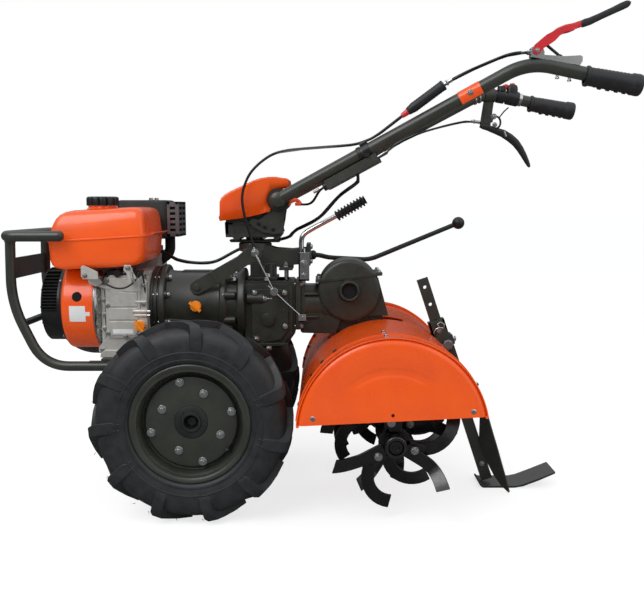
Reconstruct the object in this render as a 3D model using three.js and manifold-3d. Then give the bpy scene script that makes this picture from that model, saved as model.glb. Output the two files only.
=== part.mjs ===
// Walk-behind hand tractor with a rear rotary tiller, in millimetres.
// +X is forward (engine end), +Y is the machine's left, +Z is up.
// The origin lies on the ground, in the middle of the machine's length. The dimensions below
// are measured from the wheel axle, which lies axleAhead in front of it.
import * as THREE from "three";
import { mergeVertices } from "three/addons/utils/BufferGeometryUtils.js";
import Module from "manifold-3d";

// ---------- driving dimensions ----------
const seatGap = 0.3; // clearance between two pieces that touch
const pinGap = 0.5; // running clearance of a pin in its bore

const axleAhead = 285;

// wheels: 4.00-10 tyres
const tyreRadius = 246;
const tyreWidth = 112;
const track = 522; // between the tyres' middle planes
const beadRadius = 126.7;
const rimFlangeRadius = 144.5;
const rimHalfWidth = 42;
const rimWall = 3.4;
const wheelFacets = 36;
const hubRadius = 40;
const hubBore = 17.6;
const axleRadius = 17;
const axleHousingRadius = 38;
const axleHousingEnd = 112; // how far the housing reaches from the middle plane

// engine and drive line, all on one crank axis
const crankHeight = 500;
const clutchFront = 110; // front face of the clutch housing's flange
const clutchRadius = 88;
const clutchFlangeRadius = 105;
const adapterLength = 22;
const gearboxFront = -112;
const gearboxRear = -243;
const gearboxTop = 566;
const gearboxHalfWidth = 70;
const finalDriveRadius = 85;
const couplingLength = 96;

// engine
const crankcaseLength = 140;
const crankcaseHalfWidth = 112;
const engineFootHeight = 372;
const crankcaseTop = 594;
const shroudLength = 76;
const shroudRadius = 120;
const starterLength = 62;
const starterRadius = 92;
const tankFront = 362;
const tankRear = 128;
const tankBottom = 600;
const tankTop = 757;
const tankLeft = 150;
const tankRight = -95;
const capRadius = 41;
const capHeight = 24;

// front guard
const guardTubeRadius = 12.5;
const guardHalfWidth = 132;
const guardArmHalfWidth = 176;
const guardFront = 471;
const guardTop = 686;
const guardArmEnd = 334;
const guardBottom = 353;
const guardRear = 86;

// tiller
const caseCentre = { x: -382, z: 550 };
const caseRadius = 78;
const caseHalfWidth = 60;
const legHalfWidth = 32;
const rotorCentre = { x: -484, z: 206 };
const legFootRadius = 52;
const bladeRadius = 178;
const bladeReach = 52; // how far a blade's tip is bent sideways
const rotorShaftRadius = 18;
const rotorTubeRadius = 26;
const hoodCentre = { x: -475, z: 241 };
const hoodRadius = 223;
const hoodWall = 4;
const tillerWidth = 746;

// depth bar: a flat bar that slides in the socket, on the tiller's middle plane
const barTop = { x: -582, z: 566 };
const barWidth = 30;
const barThickness = 12;
const barClearance = 0.5;
const shoeHalfWidth = 45;
const shoeThickness = 6;
const barFoot = { x: -768, z: shoeThickness + 0.9 + barWidth * 0.16 }; // its low corner clears the shoe

// handlebar
const swivelX = -135;
const columnTop = 664;
const headFloor = 672;
const headHalfWidth = 55;
const coverHalfWidth = 72;
const coverFront = -52;
const coverWall = 3;
const tiltAxis = { x: -201, z: 776 };
const handleTubeRadius = 16;
const handleFootY = 96;
const gripY = 258;
const handleTurn = { x: -776, z: 1083 };
const gripStart = { x: -920, z: 1058 };
const gripEnd = { x: -1052, z: 1035 };
const gripRadius = 21;

// ---------- solids ----------
const wasm = await Module();
wasm.setup();

// a closed geometry as a solid, its shared corners merged
function solid(geometry) {
  const bare = geometry.index ? geometry.toNonIndexed() : geometry.clone();
  for (const name of Object.keys(bare.attributes)) {
    if (name !== "position") bare.deleteAttribute(name);
  }
  const merged = mergeVertices(bare, 1e-3);
  const corners = merged.index.array;
  const faces = [];
  for (let i = 0; i < corners.length; i += 3) {
    const [a, b, c] = [corners[i], corners[i + 1], corners[i + 2]];
    if (a !== b && b !== c && c !== a) faces.push(a, b, c);
  }
  return new wasm.Manifold(new wasm.Mesh({
    numProp: 3,
    vertProperties: new Float32Array(merged.attributes.position.array),
    triVerts: new Uint32Array(faces),
  }));
}

function geometryOf(shape) {
  const mesh = shape.getMesh();
  const geometry = new THREE.BufferGeometry();
  geometry.setAttribute("position", new THREE.BufferAttribute(mesh.vertProperties, 3));
  geometry.setIndex(new THREE.BufferAttribute(mesh.triVerts, 1));
  return geometry.toNonIndexed();
}

// joins several geometries into one body
function join(...geometries) {
  return geometryOf(geometries.map(solid).reduce((sum, next) => sum.add(next)));
}

// cuts the tools out of a geometry
function cut(geometry, ...tools) {
  return geometryOf(tools.map(solid).reduce((rest, tool) => rest.subtract(tool), solid(geometry)));
}

// ---------- shapes ----------
// a block between two corners
function block(x0, x1, y0, y1, z0, z1) {
  return new THREE.BoxGeometry(x1 - x0, y1 - y0, z1 - z0)
    .translate((x0 + x1) / 2, (y0 + y1) / 2, (z0 + z1) / 2);
}

const vector = (x, y, z) => new THREE.Vector3(x, y, z);

// a round or many-sided bar between two points
function bar(from, to, radius, sides = 16, endRadius = radius) {
  const along = to.clone().sub(from);
  const turn = new THREE.Quaternion().setFromUnitVectors(vector(0, 1, 0), along.clone().normalize());
  return new THREE.CylinderGeometry(endRadius, radius, along.length(), sides)
    .applyQuaternion(turn)
    .translate(...from.clone().add(to).multiplyScalar(0.5).toArray());
}

// turns every face over where the geometry faces inwards
function facingOut(geometry) {
  const flat = geometry.index ? geometry.toNonIndexed() : geometry;
  const place = flat.attributes.position;
  const [a, b, c] = [vector(0, 0, 0), vector(0, 0, 0), vector(0, 0, 0)];
  let volume = 0;
  for (let i = 0; i < place.count; i += 3) {
    [a, b, c].forEach((corner, k) => corner.fromBufferAttribute(place, i + k));
    volume += a.dot(b.cross(c));
  }
  if (volume > 0) return flat;
  for (let i = 0; i < place.count; i += 3) {
    b.fromBufferAttribute(place, i + 1);
    c.fromBufferAttribute(place, i + 2);
    place.setXYZ(i + 1, c.x, c.y, c.z);
    place.setXYZ(i + 2, b.x, b.y, b.z);
  }
  return flat;
}

// a lathe of [radius, height] points about the Y axis
function lathe(profile, segments) {
  return facingOut(new THREE.LatheGeometry(profile.map(([r, h]) => new THREE.Vector2(r, h)), segments));
}

// a lathe about a lateral axis at (x, z): profile points are [radius, y]
function turned(profile, x, z, segments = 32) {
  return lathe(profile, segments).translate(x, 0, z);
}

// a lathe about the crank axis: profile points are [radius, x]
function turnedLengthwise(profile, segments = 32) {
  return lathe(profile, segments).rotateZ(-Math.PI / 2).translate(0, 0, crankHeight);
}

// a lathe about a vertical axis at (x, y): profile points are [radius, z]
function turnedUpright(profile, x, y, segments = 24) {
  return lathe(profile, segments).rotateX(Math.PI / 2).translate(x, y, 0);
}

// an outline in the side view ([x, z] points or a Shape), as thick as y0 to y1
function sidePlate(outline, y0, y1, curveSegments = 12) {
  const shape = outline instanceof THREE.Shape
    ? outline
    : new THREE.Shape(outline.map(([x, z]) => new THREE.Vector2(x, z)));
  return new THREE.ExtrudeGeometry(shape, { depth: y1 - y0, bevelEnabled: false, curveSegments })
    .rotateX(Math.PI / 2)
    .translate(0, y1, 0);
}

// straight runs through points, the corners rounded over the bend length
function roundedPath(points, bend) {
  const path = new THREE.CurvePath();
  let last = points[0];
  for (let i = 1; i < points.length - 1; i += 1) {
    const before = points[i].clone().add(
      points[i - 1].clone().sub(points[i]).setLength(bend));
    const after = points[i].clone().add(
      points[i + 1].clone().sub(points[i]).setLength(bend));
    path.add(new THREE.LineCurve3(last, before));
    path.add(new THREE.QuadraticBezierCurve3(before, points[i], after));
    last = after;
  }
  path.add(new THREE.LineCurve3(last, points[points.length - 1]));
  return path;
}

const tube = (points, radius, bend, steps, sides = 12) =>
  extrudedAlong(roundedPath(points, bend), radius, steps, sides);

// the stretch of a curve between two shares of its length
class Stretch extends THREE.Curve {
  constructor(whole, start, end) {
    super();
    Object.assign(this, { whole, start, end });
  }

  getPoint(t, target = new THREE.Vector3()) {
    return this.whole.getPointAt(this.start + (this.end - this.start) * t, target);
  }
}

// a cable along a smooth curve
function cable(points, radius, steps, sides = 8) {
  return extrudedAlong(new THREE.CatmullRomCurve3(points), radius, steps, sides);
}

function extrudedAlong(path, radius, steps, sides) {
  const section = new THREE.Shape();
  for (let i = 0; i < sides; i += 1) {
    const angle = (i / sides) * Math.PI * 2;
    const point = [radius * Math.cos(angle), radius * Math.sin(angle)];
    if (i === 0) section.moveTo(...point);
    else section.lineTo(...point);
  }
  section.closePath();
  return facingOut(new THREE.ExtrudeGeometry(section, { steps, extrudePath: path, bevelEnabled: false }));
}

// the mirror image across the middle plane
const mirrored = (geometry) => {
  const copy = geometry.index ? geometry.toNonIndexed() : geometry.clone();
  const place = copy.attributes.position;
  for (let i = 0; i < place.count; i += 3) {
    const corners = [0, 1, 2].map((k) => new THREE.Vector3().fromBufferAttribute(place, i + k));
    [0, 2, 1].forEach((k, slot) => {
      place.setXYZ(i + slot, corners[k].x, -corners[k].y, corners[k].z);
    });
  }
  return copy;
};

// ---------- finishes ----------
const finishes = {
  orange: { color: 0xe8510f, roughness: 0.25, metalness: 0 },
  charcoal: { color: 0x33352f, roughness: 0.45, metalness: 0.1 },
  rubber: { color: 0x1e2122, roughness: 0.85, metalness: 0 },
  castAluminium: { color: 0x9b9a94, roughness: 0.5, metalness: 0.9 },
  steel: { color: 0xb8b9b8, roughness: 0.3, metalness: 1 },
  chrome: { color: 0xd5d6d6, roughness: 0.12, metalness: 1 },
  blackPlastic: { color: 0x17181a, roughness: 0.5, metalness: 0 },
  redPlastic: { color: 0xc4202a, roughness: 0.35, metalness: 0 },
  oilPlug: { color: 0xf08a12, roughness: 0.4, metalness: 0 },
  bladeSteel: { color: 0x1b1c1c, roughness: 0.4, metalness: 0.3 },
};

const tractor = new THREE.Group();

function piece(name, finish, geometry) {
  const placed = geometry.clone().translate(axleAhead, 0, 0);
  const mesh = new THREE.Mesh(placed, new THREE.MeshStandardMaterial(finishes[finish]));
  mesh.name = name;
  tractor.add(mesh);
}

// one piece on the left and its mirror image on the right
function pair(name, finish, geometry) {
  piece(`${name}_left`, finish, geometry);
  piece(`${name}_right`, finish, mirrored(geometry));
}

// ---------- wheels ----------
const wheelY = track / 2;
const axleZ = tyreRadius;

function tyre() {
  const half = tyreWidth / 2;
  const bead = rimHalfWidth - seatGap;
  const outer = [
    [beadRadius + seatGap, bead], [rimFlangeRadius + 2, bead], [rimFlangeRadius + 10, half - 5],
    [190, half], [tyreRadius - 20, half - 6], [tyreRadius, half - 28],
  ];
  const inner = [[tyreRadius - 16, 30], [190, half - 9], [beadRadius + 10, bead - 9]];
  const otherSide = (points) => points.map(([r, y]) => [r, -y]).reverse();
  const section = [...outer, ...otherSide(outer), ...otherSide(inner), ...inner, outer[0]];
  return turned(section.map(([r, y]) => [r, y + wheelY]), 0, axleZ, wheelFacets);
}

function rim() {
  const edge = rimHalfWidth + rimWall;
  const barrelInside = beadRadius - rimWall;
  const dishFace = 20;
  const discWall = 5;
  const profile = [
    [hubRadius + seatGap, dishFace], [98, dishFace], [110, dishFace - 14], [barrelInside, dishFace - 16],
    [barrelInside, edge], [rimFlangeRadius, edge], [rimFlangeRadius, rimHalfWidth],
    [beadRadius, rimHalfWidth], [beadRadius, -rimHalfWidth], [rimFlangeRadius, -rimHalfWidth],
    [rimFlangeRadius, -edge], [barrelInside, -edge], [barrelInside, dishFace - 16 - discWall],
    [107, dishFace - 14 - discWall], [95, dishFace - discWall], [hubRadius + seatGap, dishFace - discWall],
    [hubRadius + seatGap, dishFace],
  ];
  return turned(profile.map(([r, y]) => [r, y + wheelY]), 0, axleZ, wheelFacets);
}

// hub with its flange behind the disc, and the hexagonal axle shaft inside it
function hub() {
  const flangeFace = wheelY + 15 - seatGap;
  const sleeveEnd = axleHousingEnd + 6;
  const body = turned([
    [0, sleeveEnd], [27, sleeveEnd], [27, flangeFace - 9], [66, flangeFace - 9], [66, flangeFace],
    [hubRadius, flangeFace], [hubRadius, wheelY + 26], [hubBore, wheelY + 26], [hubBore, wheelY + 4],
    [0, wheelY + 4],
  ], 0, axleZ, 32);
  const shaft = bar(vector(0, axleHousingEnd - 26, axleZ), vector(0, sleeveEnd + 10, axleZ), axleRadius, 6);
  return join(body, shaft);
}

pair("tyre", "rubber", tyre());
pair("wheel_rim", "charcoal", rim());
pair("wheel_hub", "blackPlastic", hub());

// ---------- gearbox, clutch housing and final drive ----------
function gearboxOutline() {
  const shape = new THREE.Shape();
  shape.moveTo(gearboxFront, gearboxTop);
  shape.lineTo(gearboxRear + 6, gearboxTop);
  shape.lineTo(gearboxRear, gearboxTop - 6);
  shape.lineTo(gearboxRear, 428);
  shape.lineTo(gearboxRear + 24, 394);
  shape.lineTo(-150, 372);
  shape.lineTo(-finalDriveRadius, axleZ + 20);
  shape.absarc(0, axleZ, finalDriveRadius, Math.PI * 0.98, Math.PI * 2, false);
  shape.lineTo(finalDriveRadius, 376);
  shape.lineTo(finalDriveRadius - 10, 386);
  shape.lineTo(gearboxFront, 386);
  shape.closePath();
  return shape;
}

function gearbox() {
  const housing = (side) => bar(
    vector(0, side * (gearboxHalfWidth - 2), axleZ),
    vector(0, side * axleHousingEnd, axleZ), axleHousingRadius, 28);
  const bore = (side) => bar(
    vector(0, side * (axleHousingEnd - 30), axleZ),
    vector(0, side * (axleHousingEnd + 5), axleZ), axleRadius + pinGap, 24);
  const coverPlate = sidePlate([
    [-130, 545], [-225, 545], [-225, 440], [-205, 412], [-130, 400],
  ], -gearboxHalfWidth - 6, gearboxHalfWidth + 6);
  const boss = bar(vector(-172, -gearboxHalfWidth - 12, 466), vector(-172, gearboxHalfWidth + 12, 466), 17, 20);
  const joined = join(
    sidePlate(gearboxOutline(), -gearboxHalfWidth, gearboxHalfWidth),
    housing(1), housing(-1), coverPlate, boss,
  );
  return cut(joined, bore(1), bore(-1));
}

// bolts of the side braces sit on bosses of the housing
const braceLowBolt = { x: 10, z: 551 };
const braceHighBolt = { x: -141, z: 640 };
const braceY = 84;
const braceThickness = 6;

function clutchHousing() {
  const body = turnedLengthwise([
    [0, gearboxFront + seatGap], [96, gearboxFront + seatGap], [96, gearboxFront + 18],
    [84, gearboxFront + 20], [84, -62], [93, -62], [93, -47], [clutchRadius, -45],
    [clutchRadius, clutchFront - 18], [clutchFlangeRadius, clutchFront - 16],
    [clutchFlangeRadius, clutchFront], [100, clutchFront], [100, clutchFront + adapterLength],
    [0, clutchFront + adapterLength],
  ], 36);
  const lug = bar(
    vector(braceLowBolt.x, -braceY + seatGap, braceLowBolt.z),
    vector(braceLowBolt.x, braceY - seatGap, braceLowBolt.z), 13, 16);
  return join(body, lug);
}

const fillerPlug = { x: 13, z: 503 };

piece("gearbox", "charcoal", gearbox());
piece("clutch_housing", "charcoal", clutchHousing());
piece("gearbox_filler_plug", "oilPlug", join(
  bar(vector(fillerPlug.x, clutchRadius + seatGap, fillerPlug.z),
    vector(fillerPlug.x, clutchRadius + 14, fillerPlug.z), 12, 16),
  block(fillerPlug.x - 4, fillerPlug.x + 4, clutchRadius + 13, clutchRadius + 22,
    fillerPlug.z - 14, fillerPlug.z + 14),
));

// ---------- engine ----------
const crankcaseRear = clutchFront + adapterLength + seatGap;
const crankcaseFront = crankcaseRear + crankcaseLength;
const shroudRear = crankcaseFront + seatGap;
const shroudFront = shroudRear + shroudLength;

function crankcase() {
  const outline = [
    [crankcaseRear, 405], [crankcaseRear, crankcaseTop], [crankcaseFront, crankcaseTop],
    [crankcaseFront, 405], [crankcaseFront - 18, 392], [245, engineFootHeight], [165, engineFootHeight],
    [crankcaseRear + 20, 392],
  ];
  const tankSeat = block(185, 240, 20, 60, crankcaseTop - 2, tankBottom - seatGap);
  const cover = sidePlate([
    [crankcaseRear + 6, 415], [crankcaseRear + 6, 585], [crankcaseFront - 8, 585],
    [crankcaseFront - 8, 415], [240, 398], [165, 398],
  ], crankcaseHalfWidth - 1, crankcaseHalfWidth + 10);
  return join(sidePlate(outline, -crankcaseHalfWidth + 20, crankcaseHalfWidth), tankSeat, cover);
}

// the cylinder leans to the right of the crankcase
function cylinder() {
  const top = { y: -250, z: 640 };
  const outline = new THREE.Shape([
    new THREE.Vector2(-92 - seatGap, 455), new THREE.Vector2(-92 - seatGap, 590),
    new THREE.Vector2(-115, 630), new THREE.Vector2(-175, 652), new THREE.Vector2(top.y, top.z - 20),
    new THREE.Vector2(top.y + 8, 510),
  ]);
  return new THREE.ExtrudeGeometry(outline, { depth: 112, bevelEnabled: false })
    .applyMatrix4(new THREE.Matrix4().makeBasis(vector(0, 1, 0), vector(0, 0, 1), vector(1, 0, 0)))
    .translate(crankcaseRear + 14, 0, 0);
}

function fanShroud() {
  const volute = bar(vector(shroudRear, 0, crankHeight), vector(shroudFront, 0, crankHeight), shroudRadius, 40);
  const duct = block(shroudRear, shroudFront, -205, 0, 440, 590);
  const ceiling = block(shroudRear - 5, shroudFront + 5, -260, 160, tankBottom - 5, 700);
  return cut(join(volute, duct), ceiling);
}

function recoilStarter() {
  const start = shroudFront + seatGap;
  const end = start + starterLength;
  return turnedLengthwise([
    [0, start], [starterRadius + 6, start], [starterRadius + 6, start + 12], [starterRadius, start + 16],
    [starterRadius, end - 16], [starterRadius - 12, end - 4], [50, end], [0, end],
  ], 32);
}

function tank() {
  const shape = new THREE.Shape();
  shape.moveTo(tankFront, 671);
  shape.lineTo(tankFront - 2, 618);
  shape.quadraticCurveTo(tankFront - 6, tankBottom, tankFront - 26, tankBottom);
  shape.lineTo(tankRear + 40, tankBottom);
  shape.quadraticCurveTo(tankRear + 4, 603, tankRear + 2, 628);
  shape.lineTo(tankRear, 686);
  shape.lineTo(tankRear + 6, 728);
  shape.quadraticCurveTo(tankRear + 10, 752, tankRear + 36, tankTop - 2);
  shape.lineTo(250, tankTop);
  shape.quadraticCurveTo(300, tankTop, tankFront - 34, 742);
  shape.quadraticCurveTo(tankFront - 12, 734, tankFront - 6, 700);
  shape.closePath();
  const inset = 12;
  const body = new THREE.ExtrudeGeometry(shape, {
    depth: tankLeft - tankRight - inset * 2, bevelEnabled: true, bevelThickness: inset,
    bevelSize: 10, bevelOffset: -10, bevelSegments: 2, curveSegments: 5,
  }).rotateX(Math.PI / 2).translate(0, tankLeft - inset, 0);
  const neck = turnedUpright([[0, tankTop - 10], [34, tankTop - 10], [34, tankTop + 3], [0, tankTop + 3]], 254, 60);
  return join(body, neck);
}

const capFloor = tankTop + 3 + seatGap;

function muffler() {
  const box = block(108, 262, -240, -112, 668, 777);
  const guard = block(78, 110, -236, -116, 674, 773);
  const pipe = tube([vector(125, -175, 680), vector(125, -175, 622), vector(160, -175, 600)], 15, 18, 10, 10);
  return cut(join(box, guard, pipe), cylinderSpace());
}

// the space that the cylinder takes, with its clearance, where the exhaust pipe seats on it
function cylinderSpace() {
  return block(crankcaseRear + 14 - seatGap, 400, -270, -80, 400, 660);
}

piece("engine_crankcase", "castAluminium", crankcase());
piece("engine_cylinder", "castAluminium", cylinder());
piece("fan_shroud", "orange", fanShroud());
piece("recoil_starter", "blackPlastic", recoilStarter());
piece("fuel_tank", "orange", tank());
piece("fuel_cap", "blackPlastic", turnedUpright([
  [0, capFloor], [capRadius - 4, capFloor], [capRadius, capFloor + 4],
  [capRadius, capFloor + capHeight - 6], [capRadius - 6, capFloor + capHeight], [0, capFloor + capHeight],
], 254, 60, 28));
piece("air_cleaner", "blackPlastic", join(
  block(shroudRear - 10, shroudRear + 54, -236, -112, 610, 757),
  block(crankcaseRear + 126 + seatGap, shroudRear, -196, -150, 612, 645),
));
piece("muffler", "blackPlastic", muffler());
piece("engine_dipstick", "oilPlug", join(
  bar(vector(150, crankcaseHalfWidth + 10 + seatGap, 457), vector(150, crankcaseHalfWidth + 24, 457), 10, 14),
  block(146, 154, crankcaseHalfWidth + 23, crankcaseHalfWidth + 32, 445, 469),
));

// ---------- front guard ----------
function guard() {
  const g = guardTubeRadius;
  const sideTube = (side) => tube([
    vector(guardFront, side * guardHalfWidth, guardTop), vector(guardFront + 4, side * guardHalfWidth, 515),
    vector(398, side * guardHalfWidth, guardBottom), vector(guardRear + 6, side * guardHalfWidth, guardBottom),
  ], g, 46, 18, 10);
  const topLoop = tube([
    vector(guardArmEnd, guardArmHalfWidth, guardTop), vector(guardFront, guardArmHalfWidth, guardTop),
    vector(guardFront, -guardArmHalfWidth, guardTop), vector(guardArmEnd, -guardArmHalfWidth, guardTop),
  ], g + 1, 22, 18, 10);
  const flatPlate = block(guardFront - 2, guardFront + 3, -guardHalfWidth, guardHalfWidth, 576, 629);
  const lowBar = bar(vector(449, -guardHalfWidth, 462), vector(449, guardHalfWidth, 462), 9, 12);
  const mountTop = engineFootHeight - seatGap;
  const frontRail = block(222, 252, -guardHalfWidth, guardHalfWidth, mountTop - 9, mountTop);
  const rearRail = block(160, 190, -guardHalfWidth, guardHalfWidth, mountTop - 9, mountTop);
  const mountPlate = block(guardRear, guardRear + 8, -guardHalfWidth - 8, guardHalfWidth + 8, 318, 376);
  return join(sideTube(1), sideTube(-1), topLoop, flatPlate, lowBar, frontRail, rearRail, mountPlate);
}

piece("front_guard", "charcoal", guard());

// ---------- handlebar column, braces and controls on the gearbox ----------
function column() {
  const deck = gearboxTop + seatGap;
  const foot = block(-198, -116, -50, 50, deck, 610);
  const web = sidePlate([
    [-92, 608], [-104, 656], [-180, 656], [-234, 649], [-273, 655], [-273, 608],
  ], -36, 36);
  const flange = block(-283, -272, -46, 46, 604, 662);
  const disc = turnedUpright([[0, 640], [44, 640], [44, columnTop], [0, columnTop]], swivelX, 0, 28);
  const pivot = turnedUpright([[0, 660], [14, 660], [14, headFloor + 18], [0, headFloor + 18]], swivelX, 0, 20);
  const crossBolt = bar(
    vector(braceHighBolt.x, -braceY + seatGap, braceHighBolt.z),
    vector(braceHighBolt.x, braceY - seatGap, braceHighBolt.z), 9, 14);
  return join(foot, web, flange, disc, pivot, crossBolt);
}

function brace() {
  const outline = new THREE.Shape();
  outline.moveTo(-90, 627);
  outline.lineTo(-73, 619);
  outline.lineTo(19, 567);
  outline.absarc(braceLowBolt.x, braceLowBolt.z, 18, Math.PI * 0.35, -Math.PI * 0.7, true);
  outline.lineTo(-46, 561);
  outline.lineTo(-93, 592);
  outline.lineTo(-135, 616);
  outline.lineTo(-158, 628);
  outline.lineTo(-158, 652);
  outline.lineTo(-120, 654);
  outline.closePath();
  return sidePlate(outline, braceY, braceY + braceThickness, 6);
}

piece("handlebar_column", "charcoal", column());
pair("column_brace", "charcoal", brace());

// the gear lever leaves the column's rear flange on the right and passes beside the tiller's gear case
piece("gear_lever", "blackPlastic", join(
  tube([
    vector(-283 - seatGap, -36, 628), vector(-304, -36, 628), vector(-332, -82, 618),
    vector(-445, -82, 612), vector(-689, -82, 713),
  ], 6.5, 14, 14, 8),
  new THREE.SphereGeometry(17, 12, 8).translate(-690, -82, 713.5),
));

function tillerLever() {
  const y = 60;
  const base = block(-280, -252, 46 + seatGap, 73, gearboxTop + seatGap, 636);
  const rod = tube([
    vector(-264, y, 630), vector(-256, y, 660), vector(-260, y, 686), vector(-290, y, 702),
    vector(-358, y, 737),
  ], 6.5, 10, 12, 8);
  const grip = bar(vector(-352, y, 734), vector(-425, y, 777), 14, 16);
  return join(base, rod, grip);
}

piece("tiller_lever", "chrome", tillerLever());

// ---------- tiller drive ----------
const couplingFront = gearboxRear - seatGap;
const couplingRear = couplingFront - couplingLength;

function coupling() {
  const flange = block(couplingFront - 14, couplingFront, -66, 66, 437, 566);
  const neck = turnedLengthwise([
    [0, couplingRear], [56, couplingRear], [56, couplingFront - 12], [0, couplingFront - 12],
  ], 28);
  const floorPlate = block(-330, couplingFront - 12, -50, 50, 424, 446);
  const cutter = bar(
    vector(caseCentre.x, -100, caseCentre.z), vector(caseCentre.x, 100, caseCentre.z), caseRadius + seatGap + 0.3, 48);
  const legSpace = block(-360, -316, -legHalfWidth - seatGap, legHalfWidth + seatGap, 400, 505);
  return cut(join(flange, neck, floorPlate), cutter, legSpace);
}

function gearCase() {
  const drum = bar(
    vector(caseCentre.x, -caseHalfWidth, caseCentre.z),
    vector(caseCentre.x, caseHalfWidth, caseCentre.z), caseRadius, 44);
  const boss = bar(
    vector(-386, caseHalfWidth - 2, 542), vector(-386, caseHalfWidth + 18, 542), 30, 24);
  return join(drum, boss);
}

function leg() {
  const { x: x1, z: z1 } = caseCentre;
  const { x: x2, z: z2 } = rotorCentre;
  const tilt = Math.atan2(z2 - z1, x2 - x1);
  const upper = caseRadius - 6;
  const shape = new THREE.Shape();
  shape.absarc(x1, z1, upper, tilt + Math.PI / 2, tilt + Math.PI * 1.5, false);
  shape.absarc(x2, z2, legFootRadius, tilt - Math.PI / 2, tilt + Math.PI / 2, false);
  shape.closePath();
  const drumSpace = bar(vector(x1, -90, z1), vector(x1, 90, z1), caseRadius + seatGap + 0.3, 48);
  const bore = bar(vector(x2, -90, z2), vector(x2, 90, z2), rotorShaftRadius + pinGap, 28);
  return cut(sidePlate(shape, -legHalfWidth, legHalfWidth, 16), drumSpace, bore);
}

piece("tiller_coupling", "charcoal", coupling());
piece("tiller_gear_case", "charcoal", gearCase());
piece("tiller_leg", "charcoal", leg());

// ---------- tiller hood ----------
const hoodFrontAngle = THREE.MathUtils.degToRad(4.7);
const hoodRearAngle = THREE.MathUtils.degToRad(169.5);
const hoodHalfWidth = tillerWidth / 2;

function hoodArc(radius, y0, y1) {
  const shape = new THREE.Shape();
  shape.absarc(hoodCentre.x, hoodCentre.z, radius, hoodFrontAngle, hoodRearAngle, false);
  shape.absarc(hoodCentre.x, hoodCentre.z, radius - hoodWall, hoodRearAngle, hoodFrontAngle, true);
  shape.closePath();
  return sidePlate(shape, y0, y1, 28);
}

function hoodSheet() {
  const inner = hoodHalfWidth - hoodWall - seatGap;
  const legSpace = block(-560, -335, -legHalfWidth - seatGap, legHalfWidth + seatGap, 380, 480);
  const barSlot = block(-740, -611, -21, 21, 240, 425);
  return cut(hoodArc(hoodRadius, -inner, inner), legSpace, barSlot);
}

function hoodSide() {
  const shape = new THREE.Shape();
  shape.absarc(hoodCentre.x, hoodCentre.z, hoodRadius, hoodFrontAngle, hoodRearAngle, false);
  shape.closePath();
  return sidePlate(shape, hoodHalfWidth - hoodWall, hoodHalfWidth, 28);
}

piece("tiller_hood", "orange", hoodSheet());
pair("hood_side", "orange", hoodSide());

// ---------- rotor ----------
// four hoe blades on a flange, their tips bent to the left and right in turn
function bladeSet(y) {
  const flange = bar(
    vector(rotorCentre.x, y - 5, rotorCentre.z), vector(rotorCentre.x, y + 5, rotorCentre.z), 62, 12);
  const blades = [0, 1, 2, 3].map((k) => {
    const side = k % 2 === 0 ? 1 : -1;
    const shape = new THREE.Shape();
    shape.moveTo(30, -20);
    shape.lineTo(95, -24);
    shape.quadraticCurveTo(140, -16, 168, 22);
    shape.lineTo(148, 44);
    shape.quadraticCurveTo(122, 14, 90, 14);
    shape.lineTo(30, 16);
    shape.closePath();
    const y0 = y + side * 9 - 4.5;
    const arm = sidePlate(shape, y0, y0 + 9, 3);
    const tip = sidePlate([
      [150, 46], [bladeRadius - 1.5, 22], [bladeRadius - 7, 14], [144, 38],
    ], side > 0 ? y : y - bladeReach, side > 0 ? y + bladeReach : y);
    return join(arm, tip)
      .rotateY(-(k * Math.PI) / 2 - 0.35)
      .translate(rotorCentre.x, 0, rotorCentre.z);
  });
  return join(flange, ...blades);
}

// the inner set clears the leg, the outer one clears the hood's side and the third is halfway
const innerSet = 96;
const outerSet = hoodHalfWidth - bladeReach - 9;
const setPlaces = [innerSet, (innerSet + outerSet) / 2, outerSet];
const shaftHalfLength = hoodHalfWidth - 13;
piece("rotor_shaft", "bladeSteel", bar(
  vector(rotorCentre.x, -shaftHalfLength, rotorCentre.z),
  vector(rotorCentre.x, shaftHalfLength, rotorCentre.z), rotorShaftRadius, 20));
const hubTube = bar(
  vector(rotorCentre.x, setPlaces[0] - bladeReach, rotorCentre.z),
  vector(rotorCentre.x, setPlaces[2] + bladeReach, rotorCentre.z), rotorTubeRadius, 16);
const bladeRow = cut(
  join(hubTube, ...setPlaces.map(bladeSet)),
  bar(
    vector(rotorCentre.x, 0, rotorCentre.z), vector(rotorCentre.x, hoodHalfWidth - 3, rotorCentre.z),
    rotorShaftRadius + seatGap, 20),
);
pair("tiller_blades", "bladeSteel", bladeRow);

// ---------- depth bar and its socket ----------
const barDirection = new THREE.Vector2(barFoot.x - barTop.x, barFoot.z - barTop.z).normalize();
const barLean = Math.atan2(barDirection.x, -barDirection.y);

// a block along the depth bar: from and to count down from its top end
function alongBar(from, to, halfX, halfY) {
  return block(-halfX, halfX, -halfY, halfY, -to, -from)
    .rotateY(-barLean)
    .translate(barTop.x, 0, barTop.z);
}

function depthBarBody() {
  const length = Math.hypot(barFoot.x - barTop.x, barFoot.z - barTop.z);
  const hole = (down) => bar(
    vector(barTop.x + barDirection.x * down, -20, barTop.z + barDirection.y * down),
    vector(barTop.x + barDirection.x * down, 20, barTop.z + barDirection.y * down), 5, 10);
  return cut(alongBar(0, length, barWidth / 2, barThickness / 2), hole(24), hole(73), hole(121));
}

const socketFrom = 118;
const socketTo = 190;

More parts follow.
